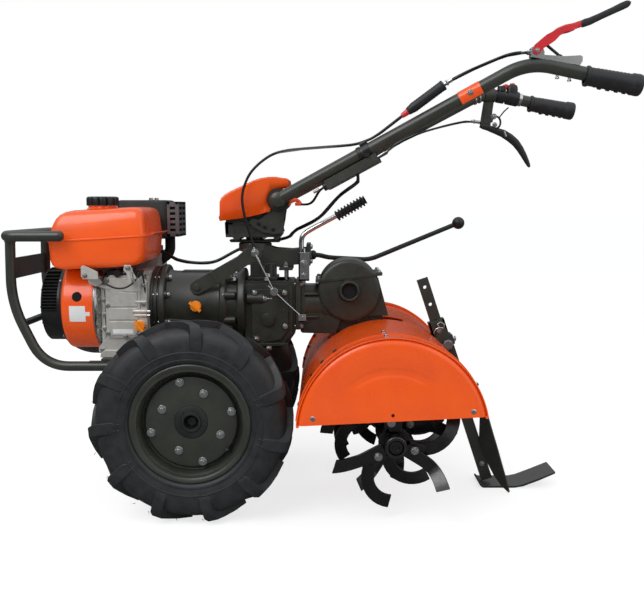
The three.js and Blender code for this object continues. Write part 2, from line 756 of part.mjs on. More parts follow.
function socket() {
  const wall = 7;
  const outerX = barWidth / 2 + barClearance + wall;
  const outerY = barThickness / 2 + barClearance + wall;
  const tubeBody = alongBar(socketFrom, socketTo, outerX, outerY);
  const foot = sidePlate([
    [-612, 400], [-640, 440], [-668, 395], [-690, 330], [-640, 360],
  ], -34, 34);
  const surface = bar(
    vector(hoodCentre.x, -60, hoodCentre.z), vector(hoodCentre.x, 60, hoodCentre.z), hoodRadius + seatGap + 0.4, 96);
  const passage = alongBar(-40, 600, barWidth / 2 + barClearance, barThickness / 2 + barClearance);
  const pinHead = bar(vector(-628, outerY - 1, 428), vector(-628, outerY + 12, 428), 5, 10);
  const clampBolt = bar(vector(-650, 0, 408), vector(-674, 0, 402), 7, 10);
  return cut(join(tubeBody, foot, pinHead, clampBolt), surface, passage);
}

function skidShoe() {
  return sidePlate([
    [-740, 9], [-747, 1.5], [-752, 0], [-836, 0], [-945, 40], [-945, 46], [-838, shoeThickness],
    [-752, shoeThickness], [-748.5, 7.5], [-743.5, 13],
  ], -shoeHalfWidth, shoeHalfWidth);
}

// upright plate at an angle to the bar, from its side outwards to the left
function skidFin() {
  const outline = [[0, 122], [2, 236], [18, 222], [62, 113], [92, 37], [104, 2], [78, 14], [24, 74]];
  const outwards = vector(-70, 80, 0).normalize();
  const shape = new THREE.Shape(outline.map(([s, z]) => new THREE.Vector2(s, z)));
  const across = vector(0, 0, 1).clone().cross(outwards).negate();
  return facingOut(new THREE.ExtrudeGeometry(shape, { depth: 5, bevelEnabled: false })
    .translate(0, 0, -2.5)
    .applyMatrix4(new THREE.Matrix4().makeBasis(outwards, vector(0, 0, 1), across))
    .translate(-744, barThickness / 2 + 2.1, 0));
}

piece("depth_bar", "charcoal", depthBarBody());
piece("depth_bar_socket", "charcoal", socket());
piece("skid_shoe", "charcoal", skidShoe());
piece("skid_fin", "charcoal", skidFin());

// ---------- swivelling head ----------
function headBase() {
  const outline = [
    [-60, 718], [-63, 676], [-76, headFloor], [-196, headFloor], [-210, 690], [-212, 724],
    [-180, 724], [-150, 720],
  ];
  const body = sidePlate(outline, -headHalfWidth, headHalfWidth);
  const cheek = (y) => join(
    sidePlate([[-176, 715], [-212, 715], [-222, 776], [-182, 776]], y - 4, y + 4),
    bar(vector(tiltAxis.x, y - 4, tiltAxis.z), vector(tiltAxis.x, y + 4, tiltAxis.z), 21, 24));
  const tiltBore = bar(
    vector(tiltAxis.x, -80, tiltAxis.z), vector(tiltAxis.x, 80, tiltAxis.z), 14 + pinGap, 28);
  const swivelBore = turnedUpright([
    [0, headFloor - 5], [14 + pinGap, headFloor - 5], [14 + pinGap, headFloor + 18 + pinGap],
    [0, headFloor + 18 + pinGap],
  ], swivelX, 0, 28);
  // lug that the cover's front screws go into
  const lug = join(
    block(-64, -60, -34, 34, 712, 742),
    block(-62, coverFront - seatGap, -34, 34, 726, 742));
  return cut(join(body, cheek(44), cheek(-44), lug), tiltBore, swivelBore);
}

function coverOutline(inset) {
  const shape = new THREE.Shape();
  shape.moveTo(-48 - inset, 721);
  shape.lineTo(-62, 724);
  shape.lineTo(-180, 748);
  shape.lineTo(-180, 752);
  shape.absarc(tiltAxis.x, tiltAxis.z, 30, -0.85, 1.1, false);
  shape.lineTo(-205, 806);
  shape.lineTo(-228 + inset, 812);
  shape.quadraticCurveTo(-228 + inset, 832 - inset, -210, 832 - inset);
  shape.quadraticCurveTo(-150, 836 - inset, -104, 806 - inset);
  shape.quadraticCurveTo(-70, 792 - inset, -50 - inset, 771 - inset);
  shape.closePath();
  return shape;
}

function headCover() {
  const outer = sidePlate(coverOutline(0), -coverHalfWidth, coverHalfWidth, 6);
  const half = coverHalfWidth - coverWall;
  const room = sidePlate([
    [coverFront, 700], [coverFront, 768], [-104, 801], [-150, 822], [-208, 828], [-223, 816], [-223, 700],
  ], -half, half);
  return cut(outer, room);
}

piece("head_base", "charcoal", headBase());
piece("head_cover", "orange", headCover());

// ---------- handlebar ----------
const handlePath = roundedPath([
  vector(tiltAxis.x, handleFootY, tiltAxis.z),
  vector(handleTurn.x, gripY - 4, handleTurn.z),
  vector(gripEnd.x + 10, gripY, gripEnd.z + 2),
], 70);

const handleTube = (radius) => extrudedAlong(handlePath, radius, 18, 12);

// the point of the left tube's middle line at a given x
function onTube(x) {
  const samples = handlePath.getSpacedPoints(400);
  return samples.reduce((best, next) => (Math.abs(next.x - x) < Math.abs(best.x - x) ? next : best));
}

function handlebarFrame() {
  const left = handleTube(handleTubeRadius);
  const crossTube = bar(
    vector(tiltAxis.x, -handleFootY, tiltAxis.z), vector(tiltAxis.x, handleFootY, tiltAxis.z), 14, 20);
  const collar = (side) => bar(
    vector(tiltAxis.x, side * (coverHalfWidth + 4), tiltAxis.z),
    vector(tiltAxis.x, side * (handleFootY + 16), tiltAxis.z), 20, 20);
  const sector = (side) => {
    const y = side * 61.5;
    return sidePlate([
      [-218, 770], [-208, 694], [-186, 690], [-160, 698], [-140, 712], [-186, 782],
    ], y - 1.5, y + 1.5);
  };
  const spreader = bar(vector(-430, -158, 902), vector(-430, 158, 902), 11, 14);
  return join(left, mirrored(left), crossTube, collar(1), collar(-1), sector(1), sector(-1), spreader);
}

function grip() {
  const from = vector(gripStart.x, gripY - 1, gripStart.z);
  const to = vector(gripEnd.x, gripY, gripEnd.z);
  const along = to.clone().sub(from).normalize();
  const sleeve = join(
    bar(from, to, gripRadius, 20, gripRadius + 1),
    bar(to.clone().addScaledVector(along, -22), to.clone().addScaledVector(along, -2), gripRadius + 3, 20),
    bar(from, from.clone().addScaledVector(along, 8), gripRadius + 3, 20),
  );
  const passage = bar(
    from.clone().addScaledVector(along, -10), to.clone().addScaledVector(along, -6.5),
    handleTubeRadius + 1.2, 24);
  return cut(sleeve, passage);
}

piece("handlebar_frame", "charcoal", handlebarFrame());
pair("hand_grip", "rubber", grip());

// ---------- hand controls ----------
// the outline of a strip along points [x, z, half width]
function ribbon(points) {
  const sideOf = (sign) => points.map(([x, z, half], i) => {
    const [x0, z0] = points[Math.max(i - 1, 0)];
    const [x1, z1] = points[Math.min(i + 1, points.length - 1)];
    const length = Math.hypot(x1 - x0, z1 - z0);
    return [x - (sign * half * (z1 - z0)) / length, z + (sign * half * (x1 - x0)) / length];
  });
  return [...sideOf(1), ...sideOf(-1).reverse()];
}

const leverY = gripY - 3;
const earGap = 8;

function clutchLeverBracket() {
  const body = sidePlate([
    [-792, 1090], [-793, 1122], [-822, 1124], [-838, 1108], [-908, 1097], [-909, 1070],
  ], leverY - earGap - 3, leverY + earGap + 3);
  const room = block(-905, -780, leverY - earGap, leverY + earGap, 1102, 1130);
  return cut(body, room, handleTube(handleTubeRadius + seatGap));
}

piece("clutch_lever_bracket", "steel", clutchLeverBracket());
piece("clutch_lever", "redPlastic", sidePlate(ribbon([
  [-802, 1110, 7], [-830, 1136, 10], [-860, 1160, 10], [-916, 1180, 9], [-1012, 1222, 8],
]), leverY - earGap + seatGap, leverY + earGap - seatGap));

// the body of a clamp on the right tube, before the tube is cut out of it
function rightClamp(x0, x1, radius) {
  const [from, to] = [onTube(x0), onTube(x1)];
  return bar(vector(from.x, -from.y, from.z), vector(to.x, -to.y, to.z), radius, 20);
}

const rightTubeSpace = mirrored(handleTube(handleTubeRadius + seatGap));

piece("kill_switch", "redPlastic", cut(join(
  rightClamp(-854, -886, handleTubeRadius + 6),
  block(-878, -862, -gripY - 4, -gripY + 12, 1080, 1092),
), rightTubeSpace));
piece("throttle_lever", "redPlastic", cut(join(
  rightClamp(-824, -846, handleTubeRadius + 6),
  sidePlate(ribbon([[-832, 1084, 7], [-846, 1099, 6], [-880, 1106, 6]]), -gripY - 3, -gripY + 9),
), rightTubeSpace));
piece("steering_lever_bracket", "castAluminium", cut(join(
  rightClamp(-788, -814, handleTubeRadius + 6),
  block(-812, -790, -gripY - 4, -gripY + 12, 980, 1060),
), rightTubeSpace));
piece("steering_lever", "blackPlastic", sidePlate(ribbon([
  [-812 - seatGap, 993, 9], [-834, 993, 9.5], [-878, 958, 8], [-908, 920, 7], [-922, 876, 6],
]), -gripY - 3, -gripY + 11));

// closed channel clipped under the left tube
const boxFront = -312;
const boxRear = -440;
const boxDepth = 24;
const tubeDirection = onTube(boxRear).sub(onTube(boxFront)).normalize();
const tubeSideways = vector(0, 0, 1).cross(tubeDirection).normalize();
const belowTube = tubeSideways.clone().cross(tubeDirection);

// a point at a distance under the left tube's middle line
const underTube = (x, drop) => onTube(x).addScaledVector(belowTube, drop);

function cableBox() {
  const middle = underTube((boxFront + boxRear) / 2, handleTubeRadius + 0.8 + boxDepth / 2);
  const across = belowTube.clone().cross(tubeDirection);
  return facingOut(new THREE.BoxGeometry(onTube(boxFront).distanceTo(onTube(boxRear)), 28, boxDepth)
    .toNonIndexed()
    .applyMatrix4(new THREE.Matrix4().makeBasis(tubeDirection, across, belowTube))
    .translate(middle.x, middle.y, middle.z));
}

piece("cable_box", "castAluminium", cableBox());

// ---------- lock lever and clutch rod ----------
piece("release_lever", "redPlastic", join(
  block(-250, -222 - seatGap, 36, 52, 757, 771),
  block(-258, -240, 30, 58, 761, 767),
));

function clutchRod() {
  const faceY = braceY + braceThickness + seatGap;
  const rodY = faceY + 6;
  const eye = bar(vector(braceHighBolt.x, faceY, 640), vector(braceHighBolt.x, faceY + 7, 640), 9, 12);
  const joint = bar(vector(-190, rodY - 6, 541), vector(-190, rodY + 6, 541), 10, 14);
  const upper = bar(vector(braceHighBolt.x, rodY, 640), vector(-190, rodY, 541), 2.5, 8);
  const lower = bar(vector(-190, rodY, 541), vector(-262, rodY, 474), 2.5, 8);
  const seatBlock = block(-272, -252, 66 + seatGap, rodY + 5, 462, 482);
  return join(eye, joint, upper, lower, seatBlock);
}

piece("clutch_rod", "steel", clutchRod());

// ---------- cables ----------
// lays one cable through its points, cut into named pieces where it passes from body to body:
// each piece is [name, the share of the whole length where it ends, steps]
function cableRun(points, radius, pieces) {
  const whole = new THREE.CatmullRomCurve3(points);
  const gap = seatGap / whole.getLength();
  let start = 0;
  for (const [name, end, steps] of pieces) {
    piece(name, "blackPlastic", extrudedAlong(new Stretch(whole, start, end), radius, steps, 8));
    start = end + gap;
  }
}

// clutch cable: lever bracket, clip on the tube, loop over the head, foot on the left brace;
// where it lies along the tube its height follows the tube's radius
const clutchCable = [
  vector(-791, leverY, 1110), vector(-764, 250, 1112), vector(-734, 240, 1105), vector(-699, 228, 1092),
  vector(-664, 216, 1078), vector(-628, 206, 1061), vector(-606, 200, 1048), vector(-513, 190, 980),
  vector(-480, 178, 939 + handleTubeRadius), vector(-440, 167, 910.5 + handleTubeRadius),
  vector(-396, 156, 894 + handleTubeRadius), vector(-316, 138, 905),
  vector(-233, 119, 899), vector(-190, 106, 890), vector(-161, 98, 872), vector(-131, 93, 843),
  vector(-115, 90, 810), vector(-109, 90, 784), vector(-112, 90, 750), vector(-120, 90, 715),
  vector(-130, 88, 684), vector(-138, 87, 654.8),
];
cableRun(clutchCable, 3.5, [
  ["clutch_cable_bar", 0.444, 20], ["clutch_cable_upper", 0.756, 14], ["clutch_cable_lower", 1, 14],
]);
piece("cable_adjuster", "blackPlastic", cut(
  bar(vector(-606, 200, 1048), vector(-517, 190.5, 983), 11, 12, 8),
  cable(clutchCable, 3.5 + pinGap, 60),
));

// throttle and switch cables in one loom: cable box, behind the head, along the right side to the engine
const boxFloor = handleTubeRadius + boxDepth + 1.3;
cableRun([
  underTube(-383, boxFloor), underTube(-383, boxFloor + 12), vector(-356, 118, 785),
  vector(-308, 78, 732), vector(-262, 30, 706), vector(-246, 0, 698), vector(-234, -30, 688),
  vector(-222, -64, 676), vector(-190, -72, 667), vector(-150, -70, 664), vector(-80, -64, 640),
  vector(-19, -58, 608), vector(23, -60, 604), vector(85, -70, 612), vector(130, -100, 632),
  vector(165, -104, 640), vector(190, -106, 638), vector(198, -106, 624),
], 4.5, [["loom_upper", 0.3, 12], ["loom_lower", 0.44, 8], ["loom_engine", 1, 24]]);

// steering cable of the right lever, and the lock cable between cable box and release lever
const boxMiddle = handleTubeRadius + 13;
const boxSide = (x, away) => underTube(x, boxMiddle).addScaledVector(tubeDirection, away);
cableRun([
  vector(-789.4, -gripY + 4, 1000), vector(-770, -gripY + 4, 1003), vector(-746, -250, 1007),
  vector(-623, -200, 977), vector(-528, -60, 934), vector(-474, 96, 894), boxSide(boxRear, 24),
  boxSide(boxRear, 0.6),
], 3, [["steering_cable", 1, 22]]);
cableRun([
  boxSide(boxFront, -0.6), boxSide(boxFront, -16), vector(-290, 86, 772), vector(-274, 52, 764),
  vector(-258.8, 48, 764),
], 3, [["lock_cable", 1, 10]]);

export default tractor;
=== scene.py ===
import bpy, bmesh
import math, random
from mathutils import Matrix, Vector


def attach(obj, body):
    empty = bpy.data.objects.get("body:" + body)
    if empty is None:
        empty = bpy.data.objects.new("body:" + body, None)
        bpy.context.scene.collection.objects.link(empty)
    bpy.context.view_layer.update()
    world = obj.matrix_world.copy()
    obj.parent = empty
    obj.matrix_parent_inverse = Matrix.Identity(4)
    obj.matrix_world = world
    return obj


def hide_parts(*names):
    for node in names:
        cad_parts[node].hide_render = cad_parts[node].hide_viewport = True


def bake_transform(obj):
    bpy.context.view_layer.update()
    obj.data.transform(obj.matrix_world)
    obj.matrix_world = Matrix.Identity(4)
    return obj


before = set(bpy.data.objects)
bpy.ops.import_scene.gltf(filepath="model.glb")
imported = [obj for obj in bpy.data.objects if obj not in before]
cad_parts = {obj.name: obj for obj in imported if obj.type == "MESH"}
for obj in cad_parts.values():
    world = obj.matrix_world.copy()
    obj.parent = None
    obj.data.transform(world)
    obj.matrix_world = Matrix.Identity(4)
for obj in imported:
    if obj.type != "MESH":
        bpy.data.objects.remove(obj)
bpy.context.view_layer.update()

random.seed(7)

# every length in this file is in millimetres, measured from the ground under the wheel axle,
# which lies axleAhead in front of the model's own origin
axleAhead = 285
metres = 0.001

camera = {"place": (-313.1, 2200, 757.3), "pitchDown": 6.7, "lens": 45.9, "sensor": 36}
studio = {
    "background": "#FFFFFF", "skyLight": 0.72, "horizonMirrored": 0.04, "overheadMirrored": 1.1,
    "keyPower": 62, "keySize": 2.6, "keyPlace": (1500, 2300, 2900),
    "fillPower": 16, "fillSize": 3.2, "fillPlace": (-2600, 1500, 1500),
    "floorSize": 120, "floorShare": 0.42, "floorGlow": 0.72, "floorMirrored": 0.16,
}


def linear(hexColour):  # sRGB hex to the linear values that a shader takes
    channels = [int(hexColour[i:i + 2], 16) / 255 for i in (1, 3, 5)]
    return [c / 12.92 if c <= 0.04045 else ((c + 0.055) / 1.055) ** 2.4 for c in channels] + [1]


def addNode(tree, kind, settings=(), links=()):
    made = tree.nodes.new(kind)
    for key, value in dict(settings).items():
        if key in made.inputs:
            made.inputs[key].default_value = value
        else:
            setattr(made, key, value)
    for socket, source in dict(links).items():
        tree.links.new(source, made.inputs[socket])
    return made


def inModel(x, y, z):  # a point of the drawing, in the model's frame
    return Vector(((x + axleAhead) * metres, y * metres, z * metres))


# camera, light and floor
eye = bpy.data.objects.new("camera", bpy.data.cameras.new("camera"))
eye.data.lens = camera["lens"]
eye.data.sensor_width = camera["sensor"]
eye.data.clip_end = 200
eye.location = inModel(*camera["place"])
eye.rotation_euler = (math.radians(90 - camera["pitchDown"]), 0, math.pi)
bpy.context.scene.collection.objects.link(eye)
bpy.context.scene.camera = eye
bpy.context.scene.view_settings.view_transform = "Standard"


def softLamp(name, place, size, power):
    lamp = bpy.data.objects.new(name, bpy.data.lights.new(name, "AREA"))
    lamp.data.shape = "DISK"
    lamp.data.size = size
    lamp.data.energy = power
    lamp.location = inModel(*place)
    target = inModel(-250, 0, 450)
    lamp.rotation_euler = (target - lamp.location).to_track_quat("-Z", "Y").to_euler()
    bpy.context.scene.collection.objects.link(lamp)


softLamp("keyLamp", studio["keyPlace"], studio["keySize"], studio["keyPower"])
softLamp("fillLamp", studio["fillPlace"], studio["fillSize"], studio["fillPower"])

sky = bpy.data.worlds.new("studio")
sky.use_nodes = True
sky.node_tree.nodes.clear()
rays = addNode(sky.node_tree, "ShaderNodeLightPath")
dim = addNode(sky.node_tree, "ShaderNodeBackground", {"Color": linear("#F4F6FA"),
                                                      "Strength": studio["skyLight"]})
comingFrom = addNode(sky.node_tree, "ShaderNodeSeparateXYZ", {}, {
    0: addNode(sky.node_tree, "ShaderNodeNewGeometry").outputs["Incoming"]})
overhead = addNode(sky.node_tree, "ShaderNodeMapRange", {
    "From Min": -0.12, "From Max": -0.7, "To Min": studio["horizonMirrored"],
    "To Max": studio["overheadMirrored"],
}, {"Value": comingFrom.outputs["Z"]})
mirrored = addNode(sky.node_tree, "ShaderNodeBackground", {"Color": linear("#F4F6FA")},
                   {"Strength": overhead.outputs[0]})
bright = addNode(sky.node_tree, "ShaderNodeBackground", {"Color": linear(studio["background"]),
                                                         "Strength": 1})
indirect = addNode(sky.node_tree, "ShaderNodeMixShader", {},
                   {0: rays.outputs["Is Glossy Ray"], 1: dim.outputs[0], 2: mirrored.outputs[0]})
either = addNode(sky.node_tree, "ShaderNodeMixShader", {},
                 {0: rays.outputs["Is Camera Ray"], 1: indirect.outputs[0], 2: bright.outputs[0]})
addNode(sky.node_tree, "ShaderNodeOutputWorld", {}, {"Surface": either.outputs[0]})
bpy.context.scene.world = sky

floorMaterial = bpy.data.materials.new("paleStudioFloor")
floorMaterial.use_nodes = True
floorMaterial.node_tree.nodes.clear()
paper = addNode(floorMaterial.node_tree, "ShaderNodeBsdfDiffuse",
                {"Color": [studio["floorShare"]] * 3 + [1]})
glow = addNode(floorMaterial.node_tree, "ShaderNodeEmission",
               {"Color": linear(studio["background"]), "Strength": studio["floorGlow"]})
paperLit = addNode(floorMaterial.node_tree, "ShaderNodeAddShader", {},
                   {0: paper.outputs[0], 1: glow.outputs[0]})
plainPaper = addNode(floorMaterial.node_tree, "ShaderNodeBsdfDiffuse", {"Color": [0.8, 0.8, 0.8, 1]})
dimPaper = addNode(floorMaterial.node_tree, "ShaderNodeBsdfDiffuse",
                   {"Color": [studio["floorMirrored"]] * 3 + [1]})
floorRays = addNode(floorMaterial.node_tree, "ShaderNodeLightPath")
floorSeen = addNode(floorMaterial.node_tree, "ShaderNodeMixShader", {},
                    {0: floorRays.outputs["Is Glossy Ray"], 1: plainPaper.outputs[0], 2: dimPaper.outputs[0]})
floorMix = addNode(floorMaterial.node_tree, "ShaderNodeMixShader", {},
                   {0: floorRays.outputs["Is Camera Ray"], 1: floorSeen.outputs[0], 2: paperLit.outputs[0]})
addNode(floorMaterial.node_tree, "ShaderNodeOutputMaterial", {}, {"Surface": floorMix.outputs[0]})
floorSheet = bmesh.new()
bmesh.ops.create_grid(floorSheet, x_segments=1, y_segments=1, size=studio["floorSize"] / 2)
floorMesh = bpy.data.meshes.new("floor")
floorSheet.to_mesh(floorMesh)
floorMesh.materials.append(floorMaterial)
floor = bpy.data.objects.new("floor", floorMesh)
bpy.context.scene.collection.objects.link(floor)
print("studio ready")

# finishes
# colour: its hex value; mottle: how far and over how many mm the colour drifts; rough and roughDrift:
# roughness and how far it varies; grain: bump size and depth in mm; coat: clear layer; worn: colour at edges
finishes = {
    # oven-baked gloss enamel on pressed steel: deep clean orange with a clear sheen and faint orange peel
    "bakedOrangeEnamel": {"colour": "#F05A10", "second": "#E8500A", "mottle": 90, "rough": 0.26,
                          "roughDrift": 0.05,
                          "grain": 2.2, "depth": 0.004, "coat": 0.2, "coatRough": 0.04},
    # satin machine enamel over bent tube and plate: dark olive grey, soft highlights
    "charcoalEnamel": {"colour": "#2C2E28", "second": "#34362F", "mottle": 60, "rough": 0.36,
                       "roughDrift": 0.06,
                       "grain": 1.6, "depth": 0.02, "coat": 0.15, "coatRough": 0.2},
    # the same enamel over a sand casting: the casting's grain shows through the paint
    "charcoalCasting": {"colour": "#24261F", "second": "#2D2F28", "mottle": 35, "rough": 0.42,
                        "roughDrift": 0.08,
                        "grain": 3.2, "depth": 0.16, "coat": 0.1, "coatRough": 0.3},
    # farm tyre rubber, moulded: blue-black, dull with a slightly shiny skin
    "tyreRubber": {"colour": "#1D1F20", "second": "#262829", "mottle": 25, "rough": 0.56, "roughDrift": 0.1,
                   "grain": 2.4, "depth": 0.09},
    # die-cast aluminium, shot-blasted: light warm grey, even fine grain
    "dieCastAluminium": {"colour": "#CFCCC5", "second": "#BAB7B0", "mottle": 18, "metal": 0.5, "rough": 0.46,
                         "roughDrift": 0.09, "grain": 1.1, "depth": 0.06},
    # zinc-plated steel, bright passivated: pale silver with a hint of blue
    "zincPlate": {"colour": "#D3D6D8", "second": "#C2C3BE", "mottle": 6, "metal": 1, "rough": 0.27,
                  "roughDrift": 0.06, "grain": 1.6, "depth": 0.006},
    # chrome plate over polished rod: near mirror
    "chromePlate": {"colour": "#DADBDC", "second": "#D2D3D4", "mottle": 20, "metal": 1, "rough": 0.1,
                    "roughDrift": 0.04, "grain": 3, "depth": 0.004},
    # injection-moulded black nylon: satin, fine spark-eroded grain
    "mouldedBlackNylon": {"colour": "#141516", "second": "#1B1C1D", "mottle": 22, "rough": 0.42,
                          "roughDrift": 0.06,
                          "grain": 0.9, "depth": 0.03},
    # heat-proof black paint on the pressed silencer box: matt
    "stovePaint": {"colour": "#151615", "second": "#1F201F", "mottle": 30, "rough": 0.6, "roughDrift": 0.08,
                   "grain": 1.8, "depth": 0.04},
    # soft PVC grip: dull black, slightly waxy
    "gripPvc": {"colour": "#17181A", "second": "#1F2022", "mottle": 16, "rough": 0.5, "roughDrift": 0.08,
                "grain": 1.3, "depth": 0.05},
    # vinyl-dipped lever: thick, rounded, glossy red
    "dippedRedVinyl": {"colour": "#C8202A", "second": "#BC1822", "mottle": 30, "rough": 0.3,
                       "roughDrift": 0.04,
                       "grain": 2.5, "depth": 0.02, "coat": 0.35, "coatRough": 0.12},
    # moulded orange nylon of the oil plugs: opaque, slightly shiny
    "mouldedOrangeNylon": {"colour": "#F4900F", "second": "#EA8209", "mottle": 12, "rough": 0.34,
                           "roughDrift": 0.05, "grain": 1, "depth": 0.02},
    # forged spring steel, dipped in black lacquer: gloss over hammer and scale marks
    "lacqueredForging": {"colour": "#0B0B0B", "second": "#121211", "mottle": 28, "rough": 0.3,
                         "roughDrift": 0.12,
                         "grain": 7, "depth": 0.35, "coat": 0.4, "coatRough": 0.16, "worn": "#2A2926"},
    # extruded PVC sheath of the control cables: smooth, semi-gloss
    "cableSheath": {"colour": "#101112", "second": "#17181A", "mottle": 14, "rough": 0.34, "roughDrift": 0.05,
                    "grain": 1.2, "depth": 0.01},
    # painted shade: a near-black finish standing in for the unlit inside of vents, bores and holes
    "darkHollow": {"colour": "#060606", "second": "#090909", "mottle": 10, "rough": 0.9, "roughDrift": 0.02,
                   "grain": 2, "depth": 0.02},
    # blank paper-faced sticker
    "blankLabel": {"colour": "#DCDDDB", "second": "#D3D4D2", "mottle": 12, "rough": 0.45, "roughDrift": 0.04,
                   "grain": 0.8, "depth": 0.01},
    # zinc alloy die casting, barrel-tumbled: mid grey, satin
    "tumbledZincAlloy": {"colour": "#8E9093", "second": "#7F8184", "mottle": 9, "metal": 0.9, "rough": 0.4,
                         "roughDrift": 0.08, "grain": 1.2, "depth": 0.04},
}


def makeFinish(name, look):
    made = bpy.data.materials.new(name)
    made.use_nodes = True
    tree = made.node_tree
    tree.nodes.clear()
    place = addNode(tree, "ShaderNodeTexCoord").outputs["Object"]
    drift = addNode(tree, "ShaderNodeTexNoise", {"Scale": 1000 / look["mottle"], "Detail": 4,
                                                 "Roughness": 0.6},
                    {"Vector": place})
    drifted = addNode(tree, "ShaderNodeMapRange", {"From Min": 0.32, "From Max": 0.68},
                      {"Value": drift.outputs[0]})
    colour = addNode(tree, "ShaderNodeMix", {"data_type": "RGBA"}, {0: drifted.outputs[0]})
    colour.inputs[6].default_value = linear(look["colour"])
    colour.inputs[7].default_value = linear(look["second"])
    shown = colour.outputs[2]
    if "worn" in look:  # bare edges
        shape = addNode(tree, "ShaderNodeNewGeometry").outputs["Pointiness"]
        edges = addNode(tree, "ShaderNodeMapRange", {"From Min": 0.56, "From Max": 0.66}, {"Value": shape})
        worn = addNode(tree, "ShaderNodeMix", {"data_type": "RGBA"}, {0: edges.outputs[0], 6: shown})
        worn.inputs[7].default_value = linear(look["worn"])
        shown = worn.outputs[2]
    grain = addNode(tree, "ShaderNodeTexNoise", {"Scale": 1000 / look["grain"], "Detail": 3,
                                                 "Roughness": 0.55},
                    {"Vector": place})
    bump = addNode(tree, "ShaderNodeBump", {"Strength": 1, "Distance": look["depth"] * metres},
                   {"Height": grain.outputs[0]})
    spread = addNode(tree, "ShaderNodeMapRange", {
        "From Min": 0.3, "From Max": 0.7,
        "To Min": look["rough"] - look["roughDrift"], "To Max": look["rough"] + look["roughDrift"],
    }, {"Value": drift.outputs[0]})
    shader = addNode(tree, "ShaderNodeBsdfPrincipled", {
        "Metallic": look.get("metal", 0), "Coat Weight": look.get("coat", 0),
        "Coat Roughness": look.get("coatRough", 0.1),
    }, {"Base Color": shown, "Roughness": spread.outputs[0], "Normal": bump.outputs[0]})
    addNode(tree, "ShaderNodeOutputMaterial", {}, {"Surface": shader.outputs[0]})
    return made


finish = {name: makeFinish(name, look) for name, look in finishes.items()}
print(len(finish), "finishes ready")


# shapes, all drawn into a bmesh in millimetres
def newVerts(bm, before):
    return [v for v in bm.verts if v not in before]


def addBlock(bm, low, high, turn=Matrix()):
    middle, size = (Vector(low) + Vector(high)) / 2, Vector(high) - Vector(low)
    return bmesh.ops.create_cube(
        bm, size=1, matrix=Matrix.Translation(middle) @ turn @ Matrix.Diagonal((*size, 1)))["verts"]


def addRod(bm, start, end, radius, endRadius=None, sides=24):
    start, end = Vector(start), Vector(end)
    turn = (end - start).to_track_quat("Z", "Y").to_matrix().to_4x4()
    return bmesh.ops.create_cone(
        bm, cap_ends=True, segments=sides, radius1=radius, radius2=radius if endRadius is None else endRadius,
        depth=(end - start).length, matrix=Matrix.Translation((start + end) / 2) @ turn)["verts"]


# a block drawn about the origin, turned and moved to its place
def addTurned(bm, low, high, degrees, axis, place):
    corners = addBlock(bm, low, high)
    bmesh.ops.rotate(bm, verts=corners, matrix=Matrix.Rotation(math.radians(degrees), 3, axis))
    bmesh.ops.translate(bm, verts=corners, vec=place)


# a profile of (radius, distance along the axis) spun full circle
def addSpun(bm, profile, centre, axis, steps=48):
    along = Vector(axis).normalized()
    across = along.orthogonal().normalized()
    before = set(bm.verts)
    corners = [bm.verts.new(Vector(centre) + across * r + along * a) for r, a in profile]
    edges = [bm.edges.new(pair) for pair in zip(corners, corners[1:])]
    bmesh.ops.spin(bm, geom=corners + edges, cent=Vector(centre), axis=along, angle=math.tau, steps=steps,
                   use_merge=True)
    bmesh.ops.remove_doubles(bm, verts=newVerts(bm, before), dist=1e-3)
    return newVerts(bm, before)


# a flat face drawn out along reach
def addPrism(bm, corners, reach):
    face = bm.faces.new([bm.verts.new(corner) for corner in corners])
    grown = bmesh.ops.extrude_face_region(bm, geom=[face])["geom"]
    bmesh.ops.translate(bm, vec=reach, verts=[g for g in grown if isinstance(g, bmesh.types.BMVert)])


# a side-on outline of (x, z) made a plate from y0 to y1
def addPlate(bm, outline, y0, y1):
    addPrism(bm, [(x, y0, z) for x, z in outline], (0, y1 - y0, 0))


# two such plates, the second one mirrored about y
def addPlates(bm, outline, inner, outer, y=0):
    addPlate(bm, outline, y + inner, y + outer)
    addPlate(bm, outline, y - outer, y - inner)


def addTube(bm, path, radius, sides=20):
    before = set(bm.verts)
    ring, upright = None, None
    for i, place in enumerate(path):
        ahead = (path[min(i + 1, len(path) - 1)] - path[max(i - 1, 0)]).normalized()
        upright = (upright or ahead.orthogonal()).normalized()
        upright = (upright - ahead * upright.dot(ahead)).normalized()
        turn = Matrix((upright, ahead.cross(upright), ahead)).transposed().to_4x4()
        made = bmesh.ops.create_circle(
            bm, cap_ends=i in (0, len(path) - 1), segments=sides,
            radius=radius[i] if isinstance(radius, list) else radius,
            matrix=Matrix.Translation(place) @ turn)["verts"]
        edges = list({e for v in made for e in v.link_edges})
        if ring:
            bmesh.ops.bridge_loops(bm, edges=ring + edges)
        ring = edges
    return newVerts(bm, before)


# straight runs with rounded corners
def bendPath(corners, bend, steps=8):
    corners = [Vector(c) for c in corners]
    path = [corners[0]]
    for before, corner, after in zip(corners, corners[1:], corners[2:]):
        start = corner + (before - corner).normalized() * min(bend, (before - corner).length * 0.49)
        end = corner + (after - corner).normalized() * min(bend, (after - corner).length * 0.49)
        path += [start.lerp(corner, k / steps).lerp(corner.lerp(end, k / steps), k / steps)
                 for k in range(steps + 1)]
    return path + [corners[-1]]


def addHexBolt(bm, place, axis, size, height, washer=True):
    place, axis = Vector(place), Vector(axis).normalized()
    if washer:
        addRod(bm, place, place + axis * height * 0.22, size * 1.22, sides=24)
    addRod(bm, place, place + axis * height, size, sides=6)
    addRod(bm, place + axis * height * 0.9, place + axis * height * 1.12, size * 0.62, size * 0.5, sides=18)


def arc(centreX, centreZ, radius, fromDegrees, toDegrees, steps=12):
    return [(centreX + radius * math.cos(math.radians(a)), centreZ + radius * math.sin(math.radians(a)))
            for a in (fromDegrees + (toDegrees - fromDegrees) * k / steps for k in range(steps + 1))]


